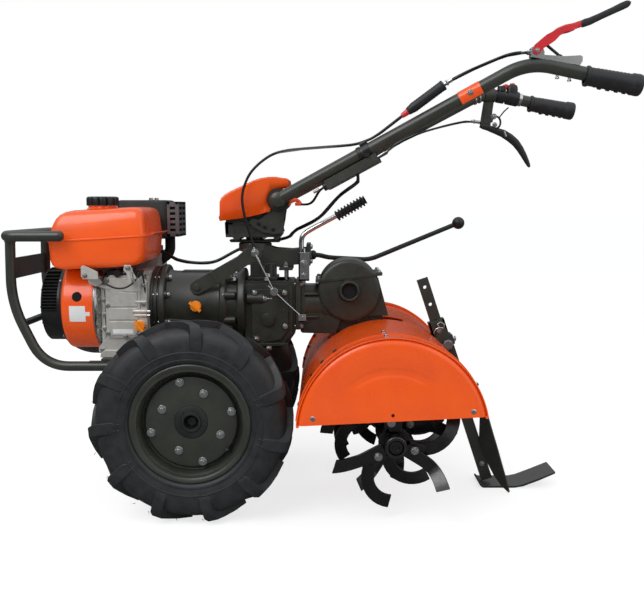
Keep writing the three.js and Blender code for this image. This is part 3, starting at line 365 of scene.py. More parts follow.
# the drawing becomes a piece of the model: placed, finished, riding on its body
def makePiece(name, bm, body, slot, look, replaces=(), bevel=0, segments=2, sharp=35, side=1, subdivide=0):
    if side < 0:
        bmesh.ops.scale(bm, vec=(1, -1, 1), verts=bm.verts)
    bmesh.ops.translate(bm, vec=(axleAhead, 0, 0), verts=bm.verts)
    bmesh.ops.scale(bm, vec=(metres,) * 3, verts=bm.verts)
    bmesh.ops.recalc_face_normals(bm, faces=bm.faces)
    mesh = bpy.data.meshes.new(name)
    bm.to_mesh(mesh)
    bm.free()
    for each in ([look] if isinstance(look, str) else look):
        mesh.materials.append(finish[each])
    mesh.shade_smooth()
    mesh.set_sharp_from_angle(angle=math.radians(sharp))
    piece = bpy.data.objects.new(name, mesh)
    bpy.context.scene.collection.objects.link(piece)
    if bevel:
        rounding = piece.modifiers.new("rounding", "BEVEL")
        rounding.width = bevel * metres
        rounding.segments = segments
        rounding.limit_method = "ANGLE"
        rounding.angle_limit = math.radians(sharp)
        rounding.harden_normals = True
    if subdivide:
        softening = piece.modifiers.new("softening", "SUBSURF")
        softening.levels = softening.render_levels = subdivide
    if body:
        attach(piece, body)
    if replaces:
        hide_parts(*replaces)
    return piece


# a function under this line draws the piece that has its name
def asPiece(*how, **more):
    def draw(drawing):
        bm = bmesh.new()
        drawing(bm)
        return makePiece(drawing.__name__, bm, *how, **more)
    return draw


# the same for a left piece and its mirror image on the right; {end} in a name stands for left or right
def asPair(body, slot, look, replaces=(), **more):
    def draw(drawing):
        made = []
        for end, side in (("left", 1), ("right", -1)):
            bm = bmesh.new()
            drawing(bm)
            made.append(makePiece(f"{drawing.__name__}_{end}", bm, body.format(end=end), slot, look,
                                  [node.format(end=end) for node in replaces], side=side, **more))
        return made
    return draw


# a welded copy of a CAD node, back in the drawing's millimetres
def nodeShape(name):
    bm = bmesh.new()
    bm.from_mesh(bpy.data.objects[name].data)
    bmesh.ops.scale(bm, vec=(1 / metres,) * 3, verts=bm.verts)
    bmesh.ops.translate(bm, vec=(-axleAhead, 0, 0), verts=bm.verts)
    bmesh.ops.remove_doubles(bm, verts=bm.verts, dist=0.01)
    bmesh.ops.dissolve_limit(bm, angle_limit=math.radians(2), verts=bm.verts, edges=bm.edges)
    return bm


# wheels
wheel = {
    "trackHalf": 261, "axleHeight": 246, "lugs": 11, "lugSweep": 19, "carcass": 229, "hairLength": 8,
    "outerBolts": 100, "innerBolts": 76, "boltSize": 8.5, "discFace": 20,
}


@asPair("{end}_wheel", "tyre", "tyreRubber", ["tyre_{end}"])
def tyreCarcass(bm):
    half = [(wheel["carcass"] + 0.6, 0), (wheel["carcass"], 18), (226.5, 34), (221, 44), (212, 49.5),
            (198, 52.2),
            (186, 52.8), (176, 52.2), (175, 53), (172.5, 53), (171.5, 51.8), (164, 50.4), (158, 49),
            (157, 50),
            (154, 49.8), (153, 47.6), (148.5, 45.4), (146.4, 43), (145.6, 41.2), (127.4, 41.2)]
    profile = half + [(r, -y) for r, y in reversed(half)]
    addSpun(bm, profile, (0, wheel["trackHalf"], wheel["axleHeight"]), (0, 1, 0), 120)


# one lug: sections of (share of its sweep, y at its foot, radius at its foot, radius at its top, half width,
# y at its top)
lugSections = [
    (0.00, 51.6, 178, 179, 11, 53.2), (0.00, 51.4, 186, 188, 13, 55.6), (0.02, 50.6, 200, 206, 13.5, 55.9),
    (0.05, 48, 213, 231, 13, 54.6), (0.12, 43.5, 219, 240.5, 12, 47.5), (0.32, 30, 225, 243.6, 11, 30.5),
    (0.62, 14, 226.5, 245, 10.4, 14), (1.00, -4, 227, 245.2, 9.8, -4),
]


def addLug(bm, start, hand):
    last = None
    for i, (share, lowY, footRadius, topRadius, halfWidth, topY) in enumerate(lugSections):
        middle = start + wheel["lugSweep"] * share
        ring = []
        for radius, y, width in ((footRadius, lowY, -halfWidth - 2.6), (footRadius, lowY, halfWidth + 2.6),
                                 (topRadius, topY, halfWidth), (topRadius, topY, -halfWidth)):
            angle = math.radians(middle) + width / radius
            ring.append(bm.verts.new((radius * math.sin(angle), wheel["trackHalf"] + hand * y,
                                      wheel["axleHeight"] + radius * math.cos(angle))))
        edges = [bm.edges.new((ring[k], ring[(k + 1) % 4])) for k in range(4)]
        if i in (0, len(lugSections) - 1):
            bm.faces.new(ring)
        if last:
            bmesh.ops.bridge_loops(bm, edges=last + edges)
        last = edges


def rimPoint(angle, radius, y):
    return Vector((radius * math.sin(angle), wheel["trackHalf"] + y,
                   wheel["axleHeight"] + radius * math.cos(angle)))


@asPair("{end}_wheel", "tyre", "tyreRubber", bevel=1.6)
def tyreLugs(bm):
    for k in range(wheel["lugs"]):
        for hand in (1, -1):
            start = 360 / wheel["lugs"] * (k + (0.5 if hand < 0 else 0)) - 6
            addLug(bm, start, hand)
            for offset in (-0.042, 0.042):  # the two short ribs at the lug's foot
                angle = math.radians(start) + offset
                addRod(bm, rimPoint(angle, 165, hand * 49), rimPoint(angle, 196, hand * 53.4), 2.8, sides=8)


@asPair("{end}_wheel", "tyre", "tyreRubber")
def tyreHairs(bm):  # the vent hairs that a new tyre keeps
    for k in range(wheel["lugs"] * 2):
        for hand in (1, -1):
            start = math.radians(360 / wheel["lugs"] * (k / 2) - 6 + random.uniform(-2, 2))
            foot = rimPoint(start + random.choice((-0.045, 0.045)), random.uniform(228, 234), hand * 51)
            tip = rimPoint(start + random.uniform(-0.02, 0.02), 241.5, hand * 55.5)
            addRod(bm, foot, foot + (tip - foot).normalized() * wheel["hairLength"], 0.8, 0.3, sides=5)
            side = rimPoint(start + random.uniform(-0.1, 0.1), random.uniform(196, 214), hand * 50)
            addRod(bm, side, side + Vector((random.uniform(-3, 3), hand * 5.4, random.uniform(-3, 3))), 0.7,
                   0.3,
                   sides=5)


@asPair("{end}_wheel", "charcoal", "charcoalEnamel", ["wheel_rim_{end}"])
def rimDish(bm):
    face = wheel["discFace"]
    front = [(40.5, face), (106, face), (109, face - 1.2), (111, face - 5), (112.5, face - 11),
             (116, face - 14),
             (119.5, face - 12), (121.5, face - 4), (123, 30), (127, 37.5), (132, 42), (138, 44.6),
             (142, 45.2),
             (144.4, 43.6), (144.4, 42.2), (127, 42)]
    back = [(127, -42), (144.4, -42.2), (144.4, -43.6), (142, -45.2), (138, -44.6), (132, -42), (127, -37.5),
            (123.2, -30), (123, face - 22), (112, face - 19), (106, face - 5), (40.5, face - 5), (40.5, face)]
    addSpun(bm, front + back, (0, wheel["trackHalf"], wheel["axleHeight"]), (0, 1, 0), 120)


@asPair("{end}_wheel", "steel", "zincPlate", bevel=0.5)
def rimBolts(bm):
    for radius, first in ((wheel["outerBolts"], 15), (wheel["innerBolts"], -24)):
        for k in range(4):
            angle = math.radians(first + 90 * k)
            foot = rimPoint(angle, radius, wheel["discFace"] - 0.5)
            addHexBolt(bm, foot, (0, 1, 0), wheel["boltSize"], 7)


@asPair("{end}_wheel", "rubber", "gripPvc")
def valveStem(bm):
    foot = rimPoint(math.radians(-37 - 90), 112, 12)
    addRod(bm, foot, foot + Vector((1, 14, 2)), 4.4, 3.6, 14)
    addRod(bm, foot + Vector((1, 14, 2)), foot + Vector((2.4, 27, 6)), 3.4, 3.2, 12)


@asPair("{end}_wheel", "blackPlastic", "stovePaint", ["wheel_hub_{end}"], bevel=0.4)
def hubDisc(bm):
    profile = [(0, 2), (16.4, 2), (17.4, 3), (17.4, 24), (18.4, 25.6), (23, 25.6), (24, 24.2), (24.6, 21.8),
               (37.5, 21.8), (39.8, 20.6), (39.8, 12), (66, 12), (66, 3), (27, 3), (27, -142.6), (0, -142.6)]
    addSpun(bm, profile, (0, wheel["trackHalf"], wheel["axleHeight"]), (0, 1, 0), 64)
    addRod(bm, (0, 86.5, wheel["axleHeight"]), (0, 120, wheel["axleHeight"]), 16.5, sides=6)
    addRod(bm, (0, 262, wheel["axleHeight"]), (0, 272, wheel["axleHeight"]), 12.5, 11.6, sides=6)
    for k in range(3):
        angle = math.radians(40 + 120 * k)
        addRod(bm, rimPoint(angle, 31, 21), rimPoint(angle, 31, 23.4), 2.6, sides=12)


print("wheels ready")

# gearbox, clutch housing and handlebar column
drive = {
    "crankHeight": 500, "axleHeight": 246, "gearboxHalf": 70, "boltSize": 6.4, "braceY": 84, "swivelX": -135,
    "bellBolts": (20, 52, 128, 160, 205, 335),  # degrees
    "coverBolts": ((-138, 536), (-216, 536), (-217, 448), (-142, 414)),
}
lengthwise = (1, 0, 0)


@asPiece("chassis", "charcoal", "charcoalCasting", ["clutch_housing"])
def clutchBell(bm):
    centre = (0, 0, drive["crankHeight"])
    bell = [(0, -111.7), (93, -111.7), (96, -109), (96, -97), (94, -94), (86, -92), (83, -88), (82, -66),
            (85, -62), (91, -61.5), (93, -59), (93, -50), (91, -47.5), (86, -45), (85, -40), (87.5, -20),
            (88, 20), (88, 84), (91, 91), (98, 94), (103, 95), (105, 97.5), (105, 107), (103, 109.5),
            (96, 110), (96, 113), (100, 114.5), (100, 120.5), (97, 121.5), (97, 124), (100, 125), (100, 131),
            (98, 132), (0, 132)]
    addSpun(bm, bell, centre, lengthwise, 96)


@asPiece("chassis", "charcoal", "charcoalCasting", bevel=2)
def clutchRibs(bm):  # ribs and bosses cast on the bell, and the lug that the brace is bolted to
    for degrees in drive["bellBolts"]:
        angle = math.radians(degrees)
        outward = Vector((0, math.cos(angle), math.sin(angle)))
        for x0, x1, rise in ((86, 96, 94), (-88, -58, 85)):
            place = Vector((0, 0, drive["crankHeight"])) + outward * rise
            addRod(bm, place + Vector((x0, 0, 0)), place + Vector((x1, 0, 0)), 10.5, sides=20)
    addRod(bm, (10, -83.6, 551), (10, 83.6, 551), 14, sides=28)
    addRod(bm, (13, 70, 503), (13, 88, 503), 17, 15.5, sides=28)
    addBlock(bm, (-40, -20, 583), (60, 20, 589.5))
    rib = [(96, 470), (96, 462), (20, 455), (-42, 455), (-42, 463), (20, 464)]
    addPlate(bm, rib, 70, 86)


@asPiece("chassis", "steel", "zincPlate", bevel=0.5)
def clutchBolts(bm):
    for degrees in drive["bellBolts"]:
        angle = math.radians(degrees)
        foot = Vector((0, math.cos(angle) * 94, drive["crankHeight"] + math.sin(angle) * 94))
        addHexBolt(bm, foot + Vector((86, 0, 0)), (-1, 0, 0), drive["boltSize"], 6)
        addRod(bm, foot + Vector((132, 0, 0)) * 0.97, foot + Vector((96, 0, 0)), 4, sides=12)
        low = Vector((0, math.cos(angle) * 86, drive["crankHeight"] + math.sin(angle) * 86))
        addHexBolt(bm, low + Vector((-57, 0, 0)), (1, 0, 0), drive["boltSize"], 6)


def oilPlug(place, size, turn):  # wing-headed plug on the left side
    bm = bmesh.new()
    x, y, z = place
    addSpun(bm, [(0, 0), (size * 1.02, 0), (size * 1.02, 3), (size * 0.86, 4), (size * 0.86, 9), (size, 10),
                 (size, 14.6), (size * 0.92, 15.4), (0, 15.4)], (x, y, z), (0, 1, 0), 40)
    addTurned(bm, (-size * 0.26, 14, -size * 1.4), (size * 0.26, 25, size * 1.4), turn, "Y", place)
    for k in range(12):
        angle = math.tau * k / 12
        addRod(bm, (x + size * math.cos(angle), y + 10.2, z + size * math.sin(angle)),
               (x + size * math.cos(angle), y + 14.6, z + size * math.sin(angle)), 1.2, sides=8)
    return bm


def gearboxOutline(inset=0):
    outline = [(-112, 566 - inset), (-237 + inset, 566 - inset), (-243 + inset, 560 - inset),
               (-243 + inset, 428)]
    outline += [(-219 + inset, 394 + inset), (-150 + inset, 372 + inset), (-85 + inset, 266)]
    outline += arc(0, drive["axleHeight"], 85 - inset, 174, 360, 22)
    outline += [(85 - inset, 376 - inset), (75 - inset, 386 - inset), (-112, 386 - inset)]
    return outline


@asPiece("chassis", "charcoal", "charcoalCasting", ["gearbox"], bevel=3.5, segments=3)
def gearboxCasting(bm):
    half = drive["gearboxHalf"]
    addPlate(bm, gearboxOutline(), -half + 8, half - 8)
    addPlate(bm, gearboxOutline(7), -half, half)
    for hand in (1, -1):
        near, far = sorted((hand * (half - 4), hand * (half + 6)))
        addPlate(bm, [(-130, 545), (-219, 545), (-225, 539), (-225, 440), (-205, 412), (-136, 400),
                      (-130, 406)],
                 near, far)
        addPlate(bm, arc(0, drive["axleHeight"], 68, 0, 350, 40), near, sorted((near, far), key=abs)[1])
        addSpun(bm, [(0, 60), (52, 60), (52, 78), (46, 82), (40, 84), (38, 92), (38, 104), (41, 105),
                     (41, 111),
                     (39, 112), (18, 112), (0, 112)],
                (0, 0, drive["axleHeight"]), (0, hand, 0), 56)
        addRod(bm, (-172, hand * 60, 466), (-172, hand * 82, 466), 18.5, 17, 40)
        addRod(bm, (-172, hand * 81, 466), (-172, hand * 83.2, 466), 12, sides=40)
        addRod(bm, (-118, hand * 68, 520), (-160, hand * 68, 520), 15, sides=28)
        addBlock(bm, (-224, min(hand * 60, hand * 80), 396), (-128, max(hand * 60, hand * 80), 404))
        for x, z in drive["coverBolts"]:
            addRod(bm, (x, hand * 60, z), (x, hand * 79.5, z), 10, 9, 20)
    addBlock(bm, (-226, -58, 560), (-118, 58, 566))


@asPiece("chassis", "steel", "zincPlate", bevel=0.5)
def gearboxBolts(bm):
    for hand in (1, -1):
        for x, z in drive["coverBolts"]:
            addHexBolt(bm, (x, hand * 79, z), (0, hand, 0), 5.4, 5)
        addHexBolt(bm, (-160, hand * 72, 520), (-1, 0, 0), 8.5, 9)
        addRod(bm, (-169, hand * 72, 520), (-183, hand * 72, 520), 4.4, sides=14)
        addHexBolt(bm, (-174, hand * 76, 390), (0, hand, 0), 6.5, 9)
        addRod(bm, (-174, hand * 84, 390), (-174, hand * 93, 390), 3.4, sides=12)
        for k in range(6):
            angle = math.tau * (k + 0.5) / 6
            addHexBolt(bm, (59 * math.cos(angle), hand * 75.5, drive["axleHeight"] + 59 * math.sin(angle)),
                       (0, hand, 0), 5.4, 5)
    for x in (-80, -166):  # studs that hold the column down
        for hand in (1, -1):
            addHexBolt(bm, (x - 2, hand * 60, 566.5), (0, 0, 1), 6.6, 8)
            addRod(bm, (x - 2, hand * 60, 574), (x - 2, hand * 60, 586), 3.6, sides=12)


makePiece("gearboxOilPlug", oilPlug((13, 88, 503), 13, 50), "chassis", "oilPlug", "mouldedOrangeNylon",
          ["gearbox_filler_plug"], bevel=1.2)
print("drive line ready")

column = {"webHalf": 36, "flangeX": -283}


@asPiece("chassis", "charcoal", "charcoalEnamel", ["handlebar_column"], bevel=1.6)
def columnWeldment(bm):
    web = [(-92, 606), (-97, 625), (-105, 646), (-120, 656), (-172, 656), (-192, 650), (-234, 647),
           (-273, 651),
           (-273, 608), (-240, 606), (-232, 600), (-196, 600), (-190, 604)]
    addPlates(bm, web, 30, column["webHalf"])
    addBlock(bm, (-262, -31, 640), (-180, 31, 646))
    addBlock(bm, (-196, -50, 566.4), (-118, 50, 575))
    addBlock(bm, (-190, -42, 574), (-124, 42, 610))
    for x in (-178, -158):
        for hand in (1, -1):
            addRod(bm, (x, hand * 43, 574), (x, hand * 43, 606), 7, sides=20)
    addBlock(bm, (-236, -46, 592), (-200, 46, 600))
    addBlock(bm, (column["flangeX"], -46, 604), (-272, 46, 662))
    addSpun(bm, [(0, 640), (40, 640), (44, 643), (44, 661), (42, 663.6), (0, 663.6)],
            (drive["swivelX"], 0, 0), (0, 0, 1), 64)
    addRod(bm, (drive["swivelX"], 0, 660), (drive["swivelX"], 0, 689), 13.6, sides=32)


@asPiece("chassis", "steel", "zincPlate", bevel=0.5)
def columnBolts(bm):
    addRod(bm, (-141, -96, 640), (-141, 96, 640), 4.6, sides=16)
    for hand in (1, -1):
        addHexBolt(bm, (-141, hand * 90.2, 640), (0, hand, 0), 8.6, 7)
        addHexBolt(bm, (-218, hand * 38, 600), (0, 0, 1), 7, 10)
        addRod(bm, (-218, hand * 38, 566.6), (-218, hand * 38, 614), 4.4, sides=14)
        addHexBolt(bm, (-172, hand * 46, 575), (0, 0, 1), 6.4, 8)
    for y in (-30, 30):
        for z in (614, 652):
            addHexBolt(bm, (column["flangeX"], y, z), (-1, 0, 0), 5, 5)


@asPair("chassis", "charcoal", "charcoalEnamel", ["column_brace_{end}"], bevel=1.2)
def braceStrip(bm):
    outline = [(-90, 627), (-73, 619), (19, 567)]
    outline += [(10 + 18 * math.cos(math.radians(a)), 551 + 18 * math.sin(math.radians(a)))
                for a in range(50, -131, -12)]
    outline += [(-46, 561), (-93, 592), (-135, 616), (-152, 624), (-158, 631), (-158, 645), (-150, 652),
                (-120, 653)]
    addPlate(bm, outline, drive["braceY"], drive["braceY"] + 6)


@asPair("chassis", "charcoal", "charcoalEnamel", bevel=0.7)
def braceFolds(bm):
    addPlate(bm, [(-88, 625), (-78, 620), (-98, 590), (-107, 597)], drive["braceY"] + 5.4,
             drive["braceY"] + 7)
    addPlate(bm, [(-30, 592), (-22, 587.6), (-40, 560.5), (-48, 564.5)], drive["braceY"] + 5.4,
             drive["braceY"] + 7)


@asPair("chassis", "charcoal", "charcoalEnamel", bevel=0.6)
def braceBolts(bm):
    addRod(bm, (10, 90, 551), (10, 92, 551), 10, sides=24)
    addRod(bm, (10, 91.6, 551), (10, 96, 551), 8, 7, 24)


@asPiece("chassis", "steel", "zincPlate", ["clutch_rod"], bevel=0.5)
def clutchPullRod(bm):
    addRod(bm, (-141, 90.5, 640), (-141, 97, 640), 9.4, sides=24)
    addRod(bm, (-141, 97, 640), (-141, 101, 640), 5.4, sides=6)
    addTube(bm, bendPath([(-138, 94, 655), (-141, 97, 640), (-146, 99, 630), (-190, 97, 541)], 6), 1.9, 10)
    addRod(bm, (-146, 98.8, 630), (-153, 98.4, 616), 3.4, sides=14)
    addRod(bm, (-190, 91, 541), (-190, 102, 541), 10.4, sides=28)
    addRod(bm, (-190, 96, 541), (-174, 96, 556), 2, sides=8)
    addTube(bm, bendPath([(-190, 97, 541), (-225, 97, 508), (-258, 96, 478)], 10), 1.9, 10)
    addBlock(bm, (-272, 66.4, 462), (-252, 101, 466))
    addBlock(bm, (-272, 90, 462), (-252, 101, 482))
    addRod(bm, (-266, 100.6, 474), (-266, 102.2, 474), 4.6, sides=20)


gearLever = {"radius": 6.5, "knob": 17}


@asPiece("chassis", "blackPlastic", "stovePaint", ["gear_lever"])
def gearLeverRod(bm):
    path = bendPath([(-283.4, -36, 628), (-304, -36, 628), (-332, -82, 618), (-445, -82, 612),
                     (-689, -82, 713)],
                    22, 10)
    addTube(bm, path, gearLever["radius"], 20)
    addSpun(bm, [(0, -283.4), (11, -283.4), (12.6, -285), (12.6, -292), (9, -297), (0, -297)],
            (0, -36, 628), lengthwise, 32)


@asPiece("chassis", "blackPlastic", "mouldedBlackNylon")
def gearKnob(bm):
    bmesh.ops.create_uvsphere(bm, u_segments=32, v_segments=20, radius=gearLever["knob"],
                              matrix=Matrix.Translation((-690, -82, 713.5)))


tillerHandle = {"y": 60, "rod": 6.5}


@asPiece("chassis", "chrome", "chromePlate", ["tiller_lever"])
def tillerLeverRod(bm):
    y = tillerHandle["y"]
    path = bendPath([(-264, y, 620), (-258, y, 660), (-262, y, 686), (-290, y, 703), (-356, y, 738)], 18, 8)
    addTube(bm, path, tillerHandle["rod"], 20)
    addRod(bm, (-264, y, 612), (-264, y, 650), 9, 7.4, 20)


@asPiece("chassis", "steel", "zincPlate", bevel=0.6)
def tillerLeverClevis(bm):  # zinc-plated channel that the rod turns in
    addBlock(bm, (-280, 46.3, 566.4), (-252, 51, 640))
    addBlock(bm, (-280, 69, 566.4), (-252, 73, 640))
    addBlock(bm, (-256, 46.3, 566.4), (-252, 73, 640))
    addBlock(bm, (-280, 46.3, 566.4), (-252, 73, 571))
    addRod(bm, (-266, 44, 612), (-266, 76, 612), 8, sides=24)
    addHexBolt(bm, (-266, 73, 612), (0, 1, 0), 7.4, 5)
    addHexBolt(bm, (-266, 73, 582), (0, 1, 0), 5, 4)


@asPiece("chassis", "rubber", "gripPvc", bevel=0.4)
def tillerLeverGrip(bm):
    start, end = Vector((-350, tillerHandle["y"], 733)), Vector((-425, tillerHandle["y"], 776.6))
    length = (end - start).length
    profile = [(0, 0), (9.5, 0)]
    for k in range(9):
        at = 1 + k * (length - 4) / 9
        profile += [(9.5, at), (14, at + 1), (14, at + 4.6), (9.5, at + 5.6)]
    profile += [(9.5, length - 3), (12, length - 2), (12, length - 0.5), (11, length), (0, length)]
    addSpun(bm, profile, start, end - start, 32)


print("column and levers ready")

# tiller: coupling, gear case, leg, hood, rotor
tiller = {
    "legX": -382, "legZ": 550, "rotorX": -484, "rotorZ": 206, "hoodX": -475, "hoodZ": 241, "hoodRadius": 223,
    "hoodHalf": 373, "hoodFront": 4.7, "hoodRear": 169.5, "seam": 322, "sheet": 3, "lap": 3.4,
}
gearCase = {"centre": (-384.5, 0, 540), "radius": 82.5, "half": 60}


@asPiece("chassis", "charcoal", "charcoalCasting", ["tiller_coupling"], bevel=2.5)
def couplingHousing(bm):
    addBlock(bm, (-257.3, -66, 437), (-243.4, 66, 566))
    addBlock(bm, (-268, -58, 448), (-256, 58, 556))
    addSpun(bm, [(0, -338), (56, -338), (57, -330), (57, -318), (54, -314), (54, -272), (58, -262),
                 (58, -255),
                 (0, -255)], (0, 0, drive["crankHeight"]), lengthwise, 72)
    addPlate(bm, [(-256, 505), (-256, 430), (-262, 426), (-350, 424), (-366, 470), (-336, 505)], -50, 50)
    for z in (470, 530):
        addBlock(bm, (-304, 48, z - 3), (-257, 58, z + 3))
        addBlock(bm, (-304, -58, z - 3), (-257, -48, z + 3))


@asPiece("chassis", "steel", "zincPlate", bevel=0.5)
def couplingBolts(bm):
    for y in (-58, 58):
        for z in (446, 557):
            addHexBolt(bm, (-257, y, z), (-1, 0, 0), 6.4, 6)
            addRod(bm, (-243.6, y, z), (-241, y, z), 5, sides=12)


@asPiece("chassis", "charcoal", "charcoalCasting", ["tiller_gear_case"])
def gearCaseDrum(bm):
    place, r, half = gearCase["centre"], gearCase["radius"], gearCase["half"]
    side = [(0, half), (r - 12, half), (r - 5, half - 1.6), (r - 1.4, half - 5.4), (r, half - 12)]
    addSpun(bm, side + [(a, -b) for a, b in reversed(side)], place, (0, 1, 0), 120)


@asPiece("chassis", "charcoal", "charcoalCasting", bevel=1.2)
def gearCaseBosses(bm):
    x, _, z = gearCase["centre"]
    for hand in (1, -1):
        reach = half = gearCase["half"]
        reach += 20 if hand > 0 else 6
        addSpun(bm, [(20, half - 2), (33, half - 2), (30, half + 2.5), (27.6, half + 6), (27, reach - 2),
                     (25.4, reach),
                     (21.4, reach), (20, reach - 1.5), (20, half - 2)], (x, 0, z), (0, hand, 0), 56)
    # the joint between dome and lower case, with an ear at each end
    addPlate(bm, [(-296, 560), (-296, 568.5), (-471, 588), (-471, 579.5)], -half - 2.6, half + 2.6)


@asPiece("chassis", "charcoal", "darkHollow")
# painted shade: a near-black disc set in the bore of the left boss, standing in for its shaded inside
def gearCaseHollowShade(bm):
    x, _, z = gearCase["centre"]
    addRod(bm, (x, gearCase["half"], z), (x, gearCase["half"] + 11, z), 19.8, sides=48)


@asPiece("chassis", "steel", "zincPlate", bevel=0.4)
def gearCaseBolts(bm):
    for x, z in ((-463, 587.4), (-304, 569.4)):
        for y in (-42, 42):
            addHexBolt(bm, (x, y, z), (0, 0, 1), 5.6, 6)


@asPiece("chassis", "charcoal", "charcoalCasting", ["tiller_leg"], bevel=3, segments=3)
def legCasting(bm):
    top, foot = Vector((tiller["legX"], 0, tiller["legZ"])), Vector((tiller["rotorX"], 0, tiller["rotorZ"]))
    way = (foot - top).normalized()
    across = Vector((way.z, 0, -way.x))
    tilt = math.degrees(math.atan2(way.z, way.x))
    for half, shrink in ((26, 0), (32, 6)):
        upper = arc(top.x, top.z, 72 - shrink, tilt + 90, tilt + 270, 30)
        lower = arc(foot.x, foot.z, 52 - shrink, tilt - 90, tilt + 90, 30)
        outline = [(x, z) for x, z in upper if (Vector((x, 0, z)) - top).dot(way) > -20] or upper
        addPlate(bm, outline + lower, -half, half)
    middle = top.lerp(foot, 0.42)
    for hand in (1, -1):
        addPlate(bm, [tuple(p) for p in (
            ((top + way * 82 + across * 6).xz), ((foot - way * 50 + across * 4).xz),
            ((foot - way * 50 - across * 4).xz), ((top + way * 82 - across * 6).xz))],
            *sorted((hand * 31, hand * 36)))
        addSpun(bm, [(0, 28), (46, 28), (46, 35), (43, 38), (34, 40), (30, 40), (29, 37), (0, 37)], foot,
                (0, hand, 0), 48)
    addRod(bm, middle + Vector((0, -32, 0)), middle + Vector((0, 32, 0)), 16, sides=24)
    # the leg's straight rear edge, wide above the hood
    addPlate(bm, [(-384, 560), (-461, 573), (-489, 472), (-400, 470)], -46, 46)


# rings of the cheek: how far in from the hood's radius, how far back from its face, how deep it is pressed
cheek = {
    "chord": 29.5, "middle": 87.1, "sheet": 2, "setBack": 2,
    "rings": ((0, 22, 0), (0.3, 17, 0), (2.2, 11, 0), (6, 5.5, 0), (11, 2, 0), (17, 0.4, 0), (24, 0, 0),
              (66, 0, 0), (70, 0, 1.6), (74, 0, 3), (84, 0, 3), (88, 0, 1.6), (92, 0, 0), (150, 0, 0)),
}


def hoodArc(radius, fromDegrees=tiller["hoodFront"], toDegrees=tiller["hoodRear"], steps=60):
    return arc(tiller["hoodX"], tiller["hoodZ"], radius, fromDegrees, toDegrees, steps)


def hoodBand(bm, y0, y1, radius, wall, *sweep):
    addPlate(bm, hoodArc(radius, *sweep) + hoodArc(radius - wall, *sweep)[::-1], y0, y1)


@asPiece("chassis", "orange", "bakedOrangeEnamel", ["tiller_hood"], bevel=0.8, sharp=30)
def hoodShell(bm):
    r, seam, sheet = tiller["hoodRadius"], tiller["seam"], tiller["sheet"]
    half, lap, edge = tiller["hoodHalf"] - 4.5, r - tiller["lap"], seam - 2
    # the middle stops in front of and behind the leg; the wings lap over it
    hoodBand(bm, -half, -edge, r, sheet)
    hoodBand(bm, edge, half, r, sheet)
    for y0, y1, fromDegrees, toDegrees, steps in (
            (-edge, edge, tiller["hoodFront"], 48, 20), (-edge, edge, 105, 122, 20),
            (-edge, -33, 48, 105, 24), (33, edge, 48, 105, 24),
            (-edge, -22, 122, tiller["hoodRear"], 20), (22, edge, 122, tiller["hoodRear"], 20)):
        hoodBand(bm, y0, y1, lap, sheet, fromDegrees, toDegrees, steps)
    for y in (-seam, seam):
        hoodBand(bm, y - 4, y + 4, r + 2.2, 5)


@asPiece("chassis", "orange", "bakedOrangeEnamel")
def hoodRolledEdges(bm):
    half = tiller["hoodHalf"] - 5
    edges = hoodArc(tiller["hoodRadius"] - 4)
    for (x, z), y0, y1 in ((edges[0], -half, half), (edges[-1], -half, -22), (edges[-1], 22, half)):
        addRod(bm, (x, y0, z - 1), (x, y1, z - 1), 3.6, sides=14)


# the arc of a radius, cut off by the cheek's straight lower edge
def cheekArc(radius, steps=72):
    half, middle = math.degrees(math.acos(cheek["chord"] / radius)), cheek["middle"]
    return arc(tiller["hoodX"], tiller["hoodZ"], radius, middle - half, middle + half, steps)


@asPair("chassis", "orange", "bakedOrangeEnamel", ["hood_side_{end}"], sharp=60)
def hoodCheek(bm):  # pressed end plate with a deep rounded rim and a shallow pressed arc
    last = None
    for inset, back, pressed in cheek["rings"]:
        places = cheekArc(tiller["hoodRadius"] - inset)
        ring = []
        for k, (x, z) in enumerate(places):
            fade = max(0, math.sin(math.pi * (k / (len(places) - 1) - 0.16) / 0.68))
            y = tiller["hoodHalf"] - cheek["setBack"] - back - pressed * min(1, fade * 1.6)
            ring.append(bm.verts.new((x, y, z)))
        if last:
            for k in range(len(ring) - 1):
                bm.faces.new((last[k], last[k + 1], ring[k + 1], ring[k]))
        last = ring
    bm.faces.new(last)


@asPair("chassis", "steel", "zincPlate")
def hoodRivets(bm):
    half = tiller["hoodHalf"]
    for x, z in ((-292, 277), (-659, 294)):
        addSpun(bm, [(0, -2.2), (6, -2.2), (6, -1.4), (4.4, -0.6), (2.2, -0.1), (0, 0)], (x, half, z),
                (0, 1, 0), 20)


@asPair("chassis", "orange", "darkHollow")
def hoodHoleShade(bm):
    # painted shade: a near-black disc on each cheek standing in for the dark inside of a hole
    addRod(bm, (-475, tiller["hoodHalf"] - 3, 285), (-475, tiller["hoodHalf"] - 1.9, 285), 4, sides=24)


@asPiece("chassis", "steel", "zincPlate", bevel=0.4)
def hoodBolts(bm):
    for hand in (1, -1):
        for degrees in (86, 150):
            for y in (262, 346):
                angle = math.radians(degrees)
                outward = Vector((math.cos(angle), 0, math.sin(angle)))
                rise = tiller["hoodRadius"] - (0.4 if y > tiller["seam"] else 3.6)
                foot = Vector((tiller["hoodX"], hand * y, tiller["hoodZ"])) + outward * rise
                addHexBolt(bm, foot, outward, 5.2, 5)


@asPiece("chassis", "steel", "lacqueredForging", bevel=0.4)
def hoodNuts(bm):  # dark nuts down the front of the seam
    for hand in (1, -1):
        for degrees in (14, 24, 34, 44, 54):
            angle = math.radians(degrees)
            outward = Vector((math.cos(angle), 0, math.sin(angle)))
            foot = Vector((tiller["hoodX"], hand * 300, tiller["hoodZ"]))
            foot += outward * (tiller["hoodRadius"] - 3.6)
            addHexBolt(bm, foot, outward, 6, 6.4)


for plate in hoodCheek:
    thick = plate.modifiers.new("sheet", "SOLIDIFY")
    thick.thickness, thick.offset = cheek["sheet"] * metres, -1
    plate.modifiers.new("edges", "EDGE_SPLIT").split_angle = math.radians(40)
print("hood ready")

